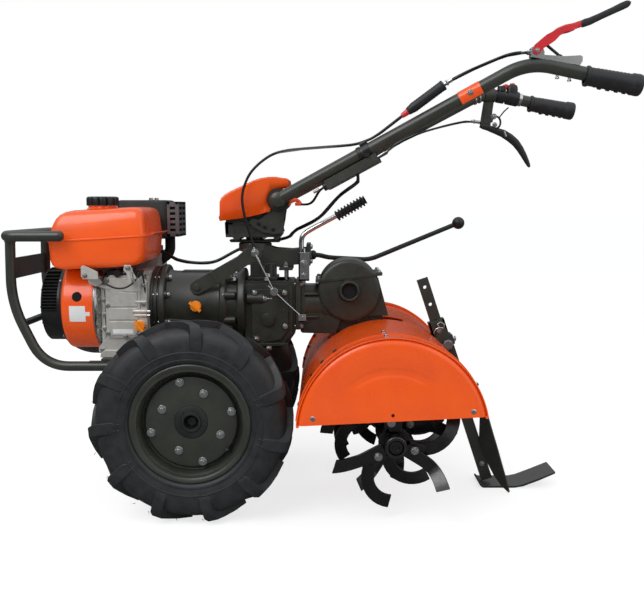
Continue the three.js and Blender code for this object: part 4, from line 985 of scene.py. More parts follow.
# arms: degrees from forward, turning downwards; each arm carries one blade on either side of its plate
rotor = {"sets": (96, 204, 312), "turns": (80, 40, 0), "arms": (40, 160, 280), "tube": 26, "reach": 38,
         "blade": 8, "strip": 15, "armWidth": 17}


# a flat strip that leaves the arm, curves round and is bent sideways at its end; hand is the side it bends to
def addBlade(bm, y, hand, degrees):
    before = set(bm.verts)
    straight, radius, sweep = (46, 76, 125) if hand < 0 else (80, 95, -45)
    path = [(28, 0, 0), (straight, 0, 0)]
    for k in range(1, 15):
        turned = math.radians(sweep * k / 14)
        path.append((straight + radius * math.sin(abs(turned)),
                     math.copysign(radius * (1 - math.cos(turned)), sweep), turned))
    last = None
    for k, (along, down, heading) in enumerate(path):
        share = max(0, (k - 5) / (len(path) - 6))
        shift = y + hand * (9.5 + rotor["reach"] * share ** 1.5)
        wide = rotor["strip"] * (1 + 0.1 * share)
        outward = (-math.sin(heading), math.cos(heading))
        corners = [bm.verts.new((along + outward[0] * wide * a, shift + rotor["blade"] / 2 * b,
                                 -(down + outward[1] * wide * a)))
                   for a, b in ((-1, -1), (1, -1), (1, 1), (-1, 1))]
        edges = [bm.edges.new((corners[j], corners[(j + 1) % 4])) for j in range(4)]
        if k in (0, len(path) - 1):
            bm.faces.new(corners)
        if last:
            bmesh.ops.bridge_loops(bm, edges=last + edges)
        last = edges
    made = newVerts(bm, before)
    bmesh.ops.rotate(bm, verts=made, matrix=Matrix.Rotation(math.radians(degrees), 3, "Y"))
    bmesh.ops.translate(bm, verts=made, vec=(tiller["rotorX"], 0, tiller["rotorZ"]))


@asPair("rotor", "bladeSteel", "lacqueredForging", ["tiller_blades_{end}"], bevel=1.4)
def bladeSets(bm):
    for y, turn in zip(rotor["sets"], rotor["turns"]):
        addSpun(bm, [(rotor["tube"] - 2, -5), (38, -5), (38, 5), (rotor["tube"] - 2, 5),
                     (rotor["tube"] - 2, -5)],
                (tiller["rotorX"], y, tiller["rotorZ"]), (0, 1, 0), 40)
        for arm in rotor["arms"]:
            addTurned(bm, (24, y - 5, -rotor["armWidth"]), (74, y + 5, rotor["armWidth"]), arm + turn, "Y",
                      (tiller["rotorX"], 0, tiller["rotorZ"]))
            for hand in (1, -1):
                addBlade(bm, y, hand, arm + turn - (12 if hand > 0 else 0))


@asPair("rotor", "bladeSteel", "lacqueredForging")
def rotorTube(bm):
    addSpun(bm, [(18.4, 44), (24, 44), (26, 46), (26, 362), (24, 364), (18.4, 364), (18.4, 44)],
            (tiller["rotorX"], 0, tiller["rotorZ"]), (0, 1, 0), 48)


@asPair("rotor", "steel", "zincPlate", bevel=0.4)
def rotorBolts(bm):
    for y, turn in zip(rotor["sets"], rotor["turns"]):
        for arm in rotor["arms"]:
            angle = math.radians(arm + turn)
            for hand in (1, -1):
                place = Vector((tiller["rotorX"] + 50 * math.cos(angle), y + hand * 13.6,
                                tiller["rotorZ"] - 50 * math.sin(angle)))
                addHexBolt(bm, place, (0, hand, 0), 8, 5.6)


@asPiece("rotor", "bladeSteel", "lacqueredForging", ["rotor_shaft"])
def rotorShaft(bm):
    for hand in (1, -1):
        addSpun(bm, [(0, 0), (17.9, 0), (17.9, 356), (15, 360), (8, 360), (7, 357), (0, 357)],
                (tiller["rotorX"], 0, tiller["rotorZ"]), (0, hand, 0), 40)


print("rotor ready")


# engine
engine = {
    "crankHeight": 500, "rear": 132.5, "front": 270.5, "near": 122, "finPitch": 9, "finThickness": 2.4,
    "tankNear": 150, "tankFar": -95, "capPlace": (254, 60), "lobes": 12, "slats": 13, "slatPitch": 7.9,
    "shroudRadius": 120, "boltSize": 5.2, "fanBolts": (446, 482, 520, 552),
    "coverBolts": ((142, 560), (142, 512), (142, 436), (234, 572), (234, 508), (234, 436), (190, 428)),
}


# everything higher is cut away and the cut is closed
def cutAbove(bm, height):
    cut = bmesh.ops.bisect_plane(bm, geom=bm.verts[:] + bm.edges[:] + bm.faces[:], plane_co=(0, 0, height),
                                 plane_no=(0, 0, 1), clear_outer=True)["geom_cut"]
    bmesh.ops.holes_fill(bm, edges=[e for e in cut if isinstance(e, bmesh.types.BMEdge)])


# rings of the same number of points, joined one to the next and closed at both ends
def addLoft(bm, rings):
    rows = [[bm.verts.new(place) for place in ring] for ring in rings]
    for low, high in zip(rows, rows[1:]):
        for i in range(len(low)):
            bm.faces.new((low[i - 1], low[i], high[i], high[i - 1]))
    bm.faces.new(list(reversed(rows[0])))
    bm.faces.new(rows[-1])


# a level outline with rounded corners whose height runs from its front to its rear
def levelRing(frontZ, rearZ, rear, front, near, far, corner, steps=6):
    ring = []
    for x, y, start in ((front, near, 0), (rear, near, 90), (rear, far, 180), (front, far, 270)):
        inX = x - corner if x == front else x + corner
        inY = y - corner if y == near else y + corner
        for k in range(steps + 1):
            angle = math.radians(start + 90 * k / steps)
            px, py = inX + corner * math.cos(angle), inY + corner * math.sin(angle)
            ring.append(Vector((px, py, frontZ + (rearZ - frontZ) * (front - px) / (front - rear))))
    return ring


# an upright box of level rings (height, inset, corner radius)
def addRoundBox(bm, rear, front, near, far, levels):
    addLoft(bm, [levelRing(z, z, rear + inset, front - inset, near - inset, far + inset, corner)
                 for z, inset, corner in levels])


@asPiece("chassis", "orange", "bakedOrangeEnamel", ["fuel_tank"], bevel=0.5, sharp=42)
def fuelTank(bm):
    near, far = engine["tankNear"], engine["tankFar"]
    levels = [
        (600, 609, 170, 340, 16, 18), (601, 610, 160, 350, 9, 20), (605, 615, 148, 360, 4, 20),
        (612, 623, 138, 367, 1.4, 20), (624, 637, 133, 371, 0.3, 19), (669, 684, 129, 373.5, 0, 18),
        (669.6, 684.6, 124.5, 376.5, -3, 20), (672.6, 687.6, 124, 376.5, -3, 20),
        (673.2, 688.2, 129.5, 372.5, 1, 17),
        (690, 704, 130.5, 370, 2.5, 17), (712, 728, 133, 363, 5.6, 17), (728, 743, 136, 355, 9, 18),
        (738, 751, 140, 346, 13.5, 20), (745, 755.4, 147, 334, 21, 22), (749, 757, 157, 317, 33, 24),
        (751, 757.4, 172, 290, 52, 24),
    ]
    addLoft(bm, [levelRing(fz, rz, rear, front, near - inset, far + inset, corner)
                 for fz, rz, rear, front, inset, corner in levels])
    lip = [(128, 687.5), (128, 684.6), (112, 690), (110.5, 692.6), (112, 694), (128, 689)]
    addPlate(bm, lip, far + 30, near - 34)
    x, y = engine["capPlace"]
    addSpun(bm, [(0, 744), (50, 744), (48, 748), (41, 751.5), (37, 755), (35.5, 758), (37, 758.6),
                 (37, 760.2), (0, 760.2)],
            (x, y, 0), (0, 0, 1), 48)


@asPiece("chassis", "blackPlastic", "mouldedBlackNylon", ["fuel_cap"], sharp=40)
def fuelCap(bm):
    x, y = engine["capPlace"]

    def lobedRing(z, shrink, depth=1):
        ring = []
        for k in range(144):
            angle = math.tau * k / 144
            notch = max(0, math.cos(engine["lobes"] * angle)) ** 3 * 5.2 * depth
            ring.append(Vector((x + (40.8 - shrink - notch) * math.cos(angle),
                                y + (40.8 - shrink - notch) * math.sin(angle), z)))
        return ring

    addLoft(bm, [lobedRing(760.4, 3), lobedRing(761.4, 0.6), lobedRing(763, 0), lobedRing(779, 0),
                 lobedRing(782, 1), lobedRing(783.6, 3.4), lobedRing(784.2, 7, 0.6),
                 lobedRing(783.4, 11, 0.2),
                 lobedRing(782, 13, 0), lobedRing(782, 20, 0)])


@asPiece("chassis", "castAluminium", "dieCastAluminium", ["engine_crankcase"], bevel=1.2)
def crankcaseCasting(bm):
    rear, front, near = engine["rear"], engine["front"], engine["near"]
    addBlock(bm, (rear, -91.5, 405), (front - 14, 96, 580))
    addBlock(bm, (rear + 1, -80, 580), (front - 30, 70, 592))
    cover = [(rear + 1, 452), (rear + 1, 566), (144, 580), (160, 585), (226, 585), (239, 573), (239, 436),
             (232, 424), (152, 424), (rear + 4, 436)]
    addPlate(bm, cover, 90, near - 4)
    for panel in ([(148, 543), (150, 578), (232, 578), (233, 550), (226, 543)],
                  [(158, 505), (158, 539), (233, 546), (233, 505)],
                  [(158, 471), (158, 501), (233, 501), (233, 471)],
                  [(165, 430), (158, 440), (158, 467), (233, 467), (233, 430)]):
        addPlate(bm, panel, near - 6, near - 1)
    shoulder = [(150, 392), (160, 424), (240, 424), (262, 398), (262, 386), (150, 386)]
    addPlate(bm, shoulder, 70, near - 10)
    for low, high in ((58, 117), (-90, -50)):
        foot = [(150, 372.4), (150, 384), (160, 392), (244, 392), (256, 384), (258, 372.4)]
        addPlate(bm, foot, low, high)
    addPlate(bm, [(150, 372.4), (150, 390), (250, 390), (250, 372.4)], -50, 58)
    for x, z in engine["coverBolts"]:
        addRod(bm, (x, near - 12, z), (x, near - 1.5, z), 8.5, 7.6, sides=24)
    addRod(bm, (150, 100, 457), (150, near, 457), 15, 13.4, sides=28)
    addRod(bm, (134, near - 3, 492.5), (170, near - 3, 492.5), 5.6, sides=20)
    addRod(bm, (134, near - 4, 482), (166, near - 4, 482), 5, sides=20)
    addRod(bm, (134, near - 3, 517), (163, near - 3, 517), 4.4, sides=20)
    addRod(bm, (154, near - 3, 484), (154, near - 3, 556), 3.6, sides=16)
    for x, z0, z1, y in ((249, 420, 560, 100), (258, 440, 520, 92)):  # webs in the gap behind the fan
        addBlock(bm, (x - 2.5, 60, z0), (x + 2.5, y, z1))
    for z in engine["fanBolts"]:
        addRod(bm, (246, 84, z), (246, 106, z), 8, 7, sides=20)


@asPiece("chassis", "steel", "zincPlate", sharp=30)
def fanBackplate(bm):  # thin bright rim of the plate behind the fan
    addSpun(bm, [(60, 256), (100, 256), (108, 259), (117.5, 267), (118.8, 270), (118.8, 272.3), (60, 272.3),
                 (60, 256)],
            (0, 0, engine["crankHeight"]), (1, 0, 0), 72)
    cutAbove(bm, 594)


@asPiece("chassis", "steel", "zincPlate", bevel=0.3)
def engineBolts(bm):
    near = engine["near"]
    for x, z in engine["coverBolts"]:
        addHexBolt(bm, (x, near - 1.6, z), (0, 1, 0), engine["boltSize"], 4.2)
    for z in engine["fanBolts"]:
        addHexBolt(bm, (246, 105.8, z), (0, 1, 0), 4.6, 4)
    addRod(bm, (125, near - 3, 492.5), (134, near - 3, 492.5), 4, sides=18)
    addRod(bm, (126, near - 4, 482), (134, near - 4, 482), 3.6, sides=18)
    addHexBolt(bm, (279, 156, 587), (0, 1, 0), 5, 4)
    addHexBolt(bm, (170, 160.5, 606), (0, 1, 0), 5.4, 3.6)
    for x, y in ((166, -196), (176, -170)):
        addHexBolt(bm, (x, y, 776.8), (0, 0, 1), 6.4, 6.5)


@asPiece("chassis", "steel", "zincPlate", bevel=0.3)
def crankcaseDrain(bm):  # bright drain plug and studs low on the near foot
    addHexBolt(bm, (252, 108, 392), (0, 1, 0), 6.4, 6)
    for x in (168, 236):
        addHexBolt(bm, (x, 88, 392), (0, 0, 1), 6, 6)


@asPiece("chassis", "castAluminium", "dieCastAluminium", ["engine_cylinder"], bevel=0.7)
def cylinderFins(bm):

    def heights(y):
        low = 455 + (-92 - y) * 55 / 150
        corners = [(-92, 590), (-115, 630), (-175, 652), (-250, 620)]
        for (y0, z0), (y1, z1) in zip(corners, corners[1:]):
            if y >= y1:
                return low, z0 + (z1 - z0) * (y - y0) / (y1 - y0)
        return low, 620

    core = [(-92.6, 470), (-92.6, 580), (-118, 610), (-178, 632), (-188, 628), (-188, 500), (-120, 478)]
    addPrism(bm, [(158, y, z) for y, z in core], (88, 0, 0))
    for k in range(10):
        y = -98 - k * engine["finPitch"]
        low, high = heights(y)
        addBlock(bm, (147, y - engine["finThickness"], low + 2), (257.6, y, high - 2))
    for low, high, y0, y1 in ((500, 634, -206, -192), (504, 630, -232, -206), (508, 622, -247, -232)):
        inset = (y1 + 247) * -0.05
        addBlock(bm, (150 + inset, y0, low), (254 - inset, y1, high))
    for z in (530, 560, 590):
        addBlock(bm, (158, -249.5, z), (246, -244, z + 5))


@asPiece("chassis", "blackPlastic", "mouldedBlackNylon")
def sparkPlugCap(bm):
    addTube(bm, bendPath([(228, -244, 566), (228, -258, 566), (228, -262, 590), (228, -240, 640)], 9, 5), 6.5,
            16)
    addRod(bm, (228, -243, 566), (228, -252, 566), 9.5, sides=20)


@asPiece("chassis", "orange", "bakedOrangeEnamel", ["fan_shroud"], bevel=1.5)
def fanShroud(bm):
    radius = engine["shroudRadius"]
    addSpun(bm, [(0, 272.8), (radius - 1, 272.8), (radius, 273.8), (radius, 277), (radius - 1.6, 278),
                 (radius - 1.6, 346),
                 (radius - 2.4, 351), (radius - 4.6, 354.4), (radius - 8, 356), (108.5, 356), (107.6, 348.4),
                 (0, 348.4)],
            (0, 0, engine["crankHeight"]), (1, 0, 0), 96)
    addBlock(bm, (272.8, -204, 441), (348, 0, 589))
    cutAbove(bm, 594.8)


def onDrum(x0, x1, fromDegrees, toDegrees, radius, thickness, steps=14):  # a sheet wrapped on the fan housing
    bm = bmesh.new()
    centre = engine["crankHeight"]
    rows = []
    for a in range(steps + 1):
        angle = math.radians(fromDegrees + (toDegrees - fromDegrees) * a / steps)
        y, z = math.cos(angle), math.sin(angle)
        rows.append([Vector((x, r * y, centre + r * z))
                     for x, r in ((x0, radius), (x1, radius), (x1, radius + thickness),
                                  (x0, radius + thickness))])
    addLoft(bm, rows)
    return bm


@asPiece("chassis", "blackPlastic", "darkHollow")
def fanShroudHoleShade(bm):  # round inspection hole, shown as a dark disc with a turned-in edge
    # the dark disc is painted shade standing in for the hole's shaded inside
    outwards = Vector((0, math.cos(math.radians(14.5)), math.sin(math.radians(14.5))))
    middle = Vector((313.5, 0, engine["crankHeight"])) + outwards * 117.2
    addRod(bm, middle, middle + outwards * 1.7, 12.4, sides=40)


@asPiece("chassis", "blackPlastic", "mouldedBlackNylon", ["recoil_starter"], bevel=0.5)
def recoilCover(bm):
    centre = (0, 0, engine["crankHeight"])
    addSpun(bm, [(0, 349.2), (106, 349.2), (107, 350.4), (107, 361), (105.6, 363), (99, 364), (97.4, 366),
                 (97.4, 371.5),
                 (88, 371.8), (88, 371.9), (0, 371.9)], centre, (1, 0, 0), 72)
    addSpun(bm, [(0, 410), (96.4, 410), (95, 413), (90, 415.4), (78, 416.6), (75, 414), (62, 414),
                 (60, 416.6),
                 (50, 418), (0, 418)], centre, (1, 0, 0), 72)
    for start, sweep in ((84, 90), (184, 170)):
        before = set(bm.verts)
        corners = [bm.verts.new((x, r, engine["crankHeight"])) for x, r in
                   ((371.6, 90.5), (371.6, 97.2), (410.4, 97.2), (410.4, 90.5))]
        wall = bm.faces.new(corners)
        bmesh.ops.rotate(bm, verts=corners, cent=centre, matrix=Matrix.Rotation(math.radians(start), 3, "X"))
        bmesh.ops.spin(bm, geom=[wall], cent=centre, axis=(1, 0, 0), angle=math.radians(sweep), steps=40)
    for hand in (1, -1):
        for k in range(engine["slats"]):
            rise = -6 + k * engine["slatPitch"]
            outer = math.sqrt(97 ** 2 - rise ** 2)
            inner = math.sqrt(max(0, 89 ** 2 - rise ** 2))
            low, high = sorted((hand * inner, hand * outer))
            addBlock(bm, (371.8, low, centre[2] + rise - 1.7), (410.2, high, centre[2] + rise + 1.7))
    for degrees in range(0, 360, 30):
        addTurned(bm, (415, 52, -2), (417.4, 88, 2), degrees, "X", centre)
    addTube(bm, [Vector(p) for p in ((396, -30, 588), (399, -34, 598), (400, -38, 606))], [5, 7, 6], 14)
    addRod(bm, (400, -62, 612), (400, -14, 602), 7, 7, sides=18)


@asPiece("chassis", "blackPlastic", "darkHollow")
def recoilCoreShade(bm):
    # painted shade: a near-black drum behind the slats standing in for the shaded inside of the starter
    addSpun(bm, [(0, 371), (89, 371), (89, 411), (0, 411)], (0, 0, engine["crankHeight"]), (1, 0, 0), 64)


@asPiece("chassis", "steel", "zincPlate", bevel=0.2)
def recoilScrews(bm):
    for degrees in (40, 130, 220, 310):
        y, z = math.cos(math.radians(degrees)) * 102.5, math.sin(math.radians(degrees)) * 102.5
        addHexBolt(bm, (362.8, y, engine["crankHeight"] + z), (1, 0, 0), 4, 4, washer=False)


@asPiece("chassis", "blackPlastic", "mouldedBlackNylon", ["air_cleaner"], bevel=0.6)
def airCleaner(bm):
    addBlock(bm, (272.6, -196, 612), (274.6, -150, 645))
    addRoundBox(bm, 262.4, 326.4, -112.4, -235.6, (
        (610.2, 5, 8), (612, 1.5, 10), (640, 0, 12), (700, 0, 12), (703, 1.4, 12), (706, 1.4, 12),
        (709, 0, 12),
        (744, 1, 12), (752, 5, 12), (756.6, 12, 10)))
    addRod(bm, (294, -174, 755), (294, -174, 756.9), 9, sides=24)
    addRod(bm, (258.8, -173, 628), (273, -173, 628), 14, sides=28)


@asPiece("chassis", "blackPlastic", "stovePaint", ["muffler"], bevel=0.8)
def muffler(bm):
    addRoundBox(bm, 119, 262, -112, -240, (
        (668.2, 12, 6), (669.5, 5, 10), (673, 1, 12), (718, 0, 14), (720, -0.2, 14), (726, -0.2, 14),
        (728, 0, 14),
        (770, 0.6, 12), (775, 3, 10), (776.8, 9, 8)))
    addTube(bm, bendPath([(125, -175, 682), (125, -175, 626), (156, -175, 604)], 18, 6), 14.6, 24)
    addBlock(bm, (148, -196, 600), (156, -154, 634))


@asPiece("chassis", "steel", "tumbledZincAlloy", bevel=0.4)
def mufflerGuard(bm):
    rear, far, near, low, high = 88.6, -236, -116, 674.4, 772.6
    rows, barHeight = 5, 7.6
    gap = (high - low - 14 - (rows + 1) * barHeight) / rows
    for k in range(rows + 1):
        z = low + 7 + k * (barHeight + gap)
        for y0, y1 in ((near - 1.6, near), (far, far + 1.6)):
            addBlock(bm, (rear + 9, y0, z), (rear + 26, y1, z + barHeight))
        addBlock(bm, (rear, far + 9, z), (rear + 1.6, near - 9, z + barHeight))
    for y0, y1 in ((near - 1.6, near), (far, far + 1.6)):
        addBlock(bm, (rear + 1, y0, low), (rear + 10, y1, high))
        addBlock(bm, (rear + 25, y0, low), (rear + 33, y1, high))
        addBlock(bm, (rear + 1, y0, low), (rear + 33, y1, low + 8))
        addBlock(bm, (rear + 1, y0, high - 8), (rear + 33, y1, high))
    for y0, y1 in ((far, far + 10), (near - 10, near), (-180, -172)):
        addBlock(bm, (rear, y0, low), (rear + 1.6, y1, high))
    addBlock(bm, (rear, far, low), (rear + 33, near, low + 1.6))
    addBlock(bm, (rear, far, high - 1.6), (rear + 33, near, high))


@asPiece("chassis", "blackPlastic", "darkHollow")
def mufflerHollowShade(bm):
    # painted shade: a near-black block behind the guard's bars standing in for the shaded space inside
    addBlock(bm, (94, -230, 680), (121, -122, 767))


@asPiece("chassis", "castAluminium", "dieCastAluminium", bevel=0.9)
def carburettorBracket(bm):  # bracket, linkage post and choke parts under the tank's near edge
    addPlate(bm, [(289, 609), (283, 613), (262, 604), (247, 596), (246, 578), (276, 578), (289, 584)], 151.5,
             155.6)
    addBlock(bm, (248, 90, 578), (286, 154, 582))
    addPlate(bm, [(283, 576), (252, 576), (246, 566), (262, 556), (280, 562)], 112, 118)
    addRod(bm, (172, 156.5, 611), (166, 156.5, 566), 5.6, 4.6, sides=20)
    addPlate(bm, [(182, 600), (180, 614), (164, 614), (160, 600), (150, 580), (158, 576)], 154, 158)
    addBlock(bm, (160, 60, 568), (176, 156, 574))
    addRod(bm, (232, 60, 566), (232, 118, 566), 9, sides=24)
    addRod(bm, (262, 104, 560), (226, 118, 551), 5.2, sides=18)


@asPiece("chassis", "blackPlastic", "mouldedBlackNylon", bevel=0.8)
def carburettorBody(bm):
    addBlock(bm, (176, 40, 579), (236, 116, 597))
    addRod(bm, (206, 60, 590), (206, 126, 590), 10, sides=28)
    addBlock(bm, (150, 70, 575), (170, 118, 594))
    addTube(bm, bendPath([(240, 119, 585), (236, 158, 572), (205, 160, 555), (176, 160, 556), (152, 158, 574),
                          (150, 130, 596)], 20, 8), 2.3, 12)
    addTube(bm, bendPath([(143, 120, 594), (139, 120, 560), (136, 112, 520)], 14, 6), 2.2, 12)


@asPiece("chassis", "steel", "zincPlate", bevel=0.3)
def carburettorRods(bm):
    addRod(bm, (160, 158, 598), (156, 158, 570), 2.4, sides=14)
    addRod(bm, (190, 130, 592), (160, 156, 604), 1.6, sides=10)
    addRod(bm, (140, 96, 575), (140, 118, 590), 3.4, sides=14)


makePiece("fanShroudLabel", onDrum(292.5, 333.5, -17, 3, 118.4, 0.35), "chassis", "steel", "blankLabel")
makePiece("fanShroudTab", onDrum(281, 292.6, -9.5, -4.5, 118.4, 0.3), "chassis", "steel", "blankLabel")
makePiece("engineOilPlug", oilPlug((150, 122.3, 457), 12.4, 38), "chassis", "oilPlug", "mouldedOrangeNylon",
          ["engine_dipstick"], bevel=0.8)
labelPatch = bmesh.new()
addBlock(labelPatch, (170, engine["near"] - 1, 435.5), (222, engine["near"] - 0.6, 447))
makePiece("crankcaseLabel", labelPatch, "chassis", "steel", "blankLabel")
print("engine ready")

# front guard
guard = {"front": 471, "half": 132, "top": 686, "low": 353, "radius": 12.6, "armHalf": 176, "armRadius": 13.4,
         "armEnd": 334}


@asPiece("chassis", "charcoal", "charcoalEnamel", ["front_guard"], bevel=0.4)
def frontGuardTubes(bm):
    front, half, top, low = guard["front"], guard["half"], guard["top"], guard["low"]
    for hand in (1, -1):
        path = bendPath([(front, hand * half, top - 6), (front + 3, hand * half, 515),
                         (398, hand * half, low),
                         (98, hand * half, low)], 66, 12)
        addTube(bm, path, guard["radius"], 28)
        arm = (guard["armEnd"], hand * guard["armHalf"], top)
        addSpun(bm, [(13.4, -1), (13.2, 2), (12, 6), (9, 9.6), (5, 11.6), (0, 12.2)], arm, (-1, 0, 0), 28)
        addSpun(bm, [(12.6, 668), (14.1, 671), (13.9, 676), (13, 679)], (front, hand * half, 0), (0, 0, 1),
                24)
        for x in (206, 268):
            addBlock(bm, (x - 31, hand * half - 9, 361), (x + 15, hand * half + 9, 366))
    arms = bendPath([(guard["armEnd"], guard["armHalf"], top), (front, guard["armHalf"], top),
                     (front, -guard["armHalf"], top), (guard["armEnd"], -guard["armHalf"], top)], 32, 10)
    addTube(bm, arms, guard["armRadius"], 28)
    addRod(bm, (449, -half, 462), (449, half, 462), 9, sides=24)
    for x0, x1 in ((222, 252), (160, 190)):
        addBlock(bm, (x0, -half, 362.8), (x1, half, 371.6))


@asPiece("chassis", "charcoal", "charcoalEnamel", bevel=1)
def frontGuardPlates(bm):
    half = guard["half"]
    addBlock(bm, (469, -half - 2, 576), (474, half + 2, 629))
    addBlock(bm, (86, -half - 8, 318), (94, half + 8, 376))
    addPlates(bm, [(94, 322), (94, 345), (120, 345)], 109, 115)


@asPiece("chassis", "steel", "zincPlate", bevel=0.3)
def frontGuardBolts(bm):
    for x in (237, 175):
        for y in (-70, 88):
            addHexBolt(bm, (x, y, 362.6), (0, 0, -1), 6.4, 6)
    for y in (-124, -60, 60, 124):
        addHexBolt(bm, (94, y, 332), (1, 0, 0), 6.4, 6)


# depth bar, its socket and the skid shoe
depth = {
    "top": (-582, 566), "foot": (-768, 11.7), "socketFrom": 118, "socketTo": 190, "shoeHalf": 45,
}
barAhead = Vector((depth["foot"][0] - depth["top"][0], 0, depth["foot"][1] - depth["top"][1])).normalized()
barAcross = Vector((-barAhead.z, 0, barAhead.x))
barTurn = Matrix.Rotation(math.atan2(-barAhead.x, -barAhead.z), 4, "Y")


# a block along the bar: down from its top end, half width forward, from y0 to y1
def addBarBlock(bm, downFrom, downTo, halfWidth, y0, y1, shift=0):
    middle = Vector((depth["top"][0], (y0 + y1) / 2, depth["top"][1])) + barAhead * (downFrom + downTo) / 2
    middle += barAcross * shift
    size = Vector((halfWidth * 2, y1 - y0, downTo - downFrom))
    return addBlock(bm, middle - size / 2, middle + size / 2, barTurn)


@asPiece("chassis", "charcoal", "charcoalEnamel", ["depth_bar_socket"], bevel=1)
def depthBarSocket(bm):
    low, high = depth["socketFrom"], depth["socketTo"]
    addBarBlock(bm, low, high, 3.3, -13.4, 13.4, 19)
    addBarBlock(bm, low, high, 3.3, -13.4, 13.4, -19)
    for y0, y1 in ((7, 13.4), (-13.4, -7)):
        addBarBlock(bm, low, high, 22.3, y0, y1)
    addPlates(bm, [(-621, 408), (-640, 440), (-662, 405), (-684, 342), (-646, 366), (-632, 384)], 22, 28)
    addBlock(bm, (-667, -26, 392), (-661, 26, 418), barTurn)
    addBlock(bm, (-628, -26, 396), (-622, 26, 418), barTurn)


@asPiece("chassis", "steel", "zincPlate", bevel=0.3)
def socketFittings(bm):
    addRod(bm, (-628, 12, 428), (-628, 24, 428), 4.6, sides=20)
    addRod(bm, (-628, 20, 428), (-628, 22, 428), 7.6, sides=24)
    addRod(bm, (-656, 0, 406), (-676, 0, 401), 5.4, sides=20)
    addRod(bm, (-670, 0, 402.6), (-674, 0, 401.4), 9.6, sides=6)
    ring = [Vector((-630 + 17 * math.cos(a), 24 + 3 * math.sin(a), 420 + 17 * math.sin(a)))
            for a in (math.tau * k / 28 for k in range(26))]
    addTube(bm, ring, 1.5, 10)
    addTube(bm, [Vector(p) for p in ((-628, 25, 436), (-622, 26, 446), (-630, 26, 452), (-640, 25, 446),
                                     (-641, 24, 400))],
            1.5, 10)


@asPiece("chassis", "steel", "tumbledZincAlloy", bevel=0.6)
def socketKnob(bm):
    addSpun(bm, [(0, 0), (7, 0), (8, 2), (8, 14), (12.5, 15), (13, 17), (13, 24), (11, 26), (0, 26)],
            (-650, 13, 392), (0, 1, 0), 28)
    for k in range(8):
        angle = math.tau * k / 8
        addRod(bm, (-650 + 12 * math.cos(angle), 28.5, 392 + 12 * math.sin(angle)),
               (-650 + 12 * math.cos(angle), 38, 392 + 12 * math.sin(angle)), 2.6, sides=12)


@asPiece("skid", "charcoal", "charcoalEnamel", ["skid_shoe"], bevel=0.8)
def skidShoe(bm):
    half = depth["shoeHalf"]
    outline = [(-741, 8), (-747, 2), (-752, 0.2), (-836, 0.2), (-860, 4.6), (-900, 20), (-945, 40),
               (-945, 45.4),
               (-898, 26), (-858, 10.4), (-838, 5.9), (-752, 5.9), (-748.5, 7.5), (-744, 12)]
    addPlate(bm, outline, -half, half)


@asPiece("skid", "charcoal", "charcoalEnamel", ["skid_fin"], bevel=0.9)
def skidFin(bm):
    outline = [(0, 122), (1, 190), (2, 232), (5, 237), (18, 222), (40, 166), (62, 113), (78, 72), (92, 37),
               (104, 4),
               (102, 1.5), (78, 14), (52, 38), (24, 74)]
    outwards = Vector((-70, 80, 0)).normalized()
    across = Vector((-outwards.y, outwards.x, 0))
    start = Vector((-744, 8.1, 0))
    addPrism(bm, [start + outwards * s + Vector((0, 0, z)) - across * 2.4 for s, z in outline], across * 4.8)


@asPiece("skid", "steel", "zincPlate", bevel=0.3)
def skidBolts(bm):
    addHexBolt(bm, (-753, 6.2, 56), (0, 1, 0), 6, 5)
    addHexBolt(bm, (-753, -6.2, 56), (0, -1, 0), 6, 5)


makePiece("depthBar", nodeShape("depth_bar"), "skid", "charcoal", "charcoalEnamel", ["depth_bar"], bevel=0.8)
print("guard and depth bar ready")

# swivelling head under its orange cover
head = {"tiltX": -201, "tiltZ": 776, "half": 55, "coverHalf": 72, "coverWall": 2.4, "swivelX": -135,
        "boltSize": 5.6}


@asPiece("head", "charcoal", "charcoalCasting", ["head_base"], bevel=0.8)
def headBase(bm):
    half = head["half"]
    addPlate(bm, [(-61.5, 687), (-62.5, 679), (-80, 679), (-84, 672.3), (-98, 672.3), (-102, 679),
                  (-186, 679),
                  (-190, 672.3), (-198, 672.3), (-210, 688)], -half, half)
    addPlate(bm, [(-60, 718), (-61.5, 687), (-70, 687), (-70, 718)], -half, half)
    addPlate(bm, [(-62, 748), (-62, 687), (-208, 687), (-211, 748)], -38, 38)
    addPlate(bm, [(-68, 671.4), (-72, 664.8), (-200, 664.8), (-206, 671.4)], -30, 30)
    addPlates(bm, [(-64, 738), (-64, 687), (-208, 687), (-180, 738)], half - 7, half - 2)
    for outline in ([(-60, 718), (-61.5, 687), (-84, 687), (-82, 718)],
                    [(-136, 719), (-140, 687), (-208, 687), (-211, 722)],
                    [(-60, 718), (-60.4, 711), (-211, 713), (-211, 722)]):
        addPlates(bm, outline, half - 7, half)
    addSpun(bm, [(14.6, 672.3), (25, 672.3), (25, 679.4), (14.6, 679.4), (14.6, 672.3)],
            (head["swivelX"], 0, 0), (0, 0, 1), 32)
    for y in (44, -44):
        addPlate(bm, [(-176, 715), (-212, 715), (-222, 776), (-182, 776)], y - 4, y + 4)
        addSpun(bm, [(14.6, -4), (21, -4), (21, 4), (14.6, 4), (14.6, -4)], (head["tiltX"], y, head["tiltZ"]),
                (0, 1, 0), 32)
    addBlock(bm, (-64, -34, 712), (-60, 34, 742))
    addBlock(bm, (-62, -34, 726), (-52.4, 34, 742))


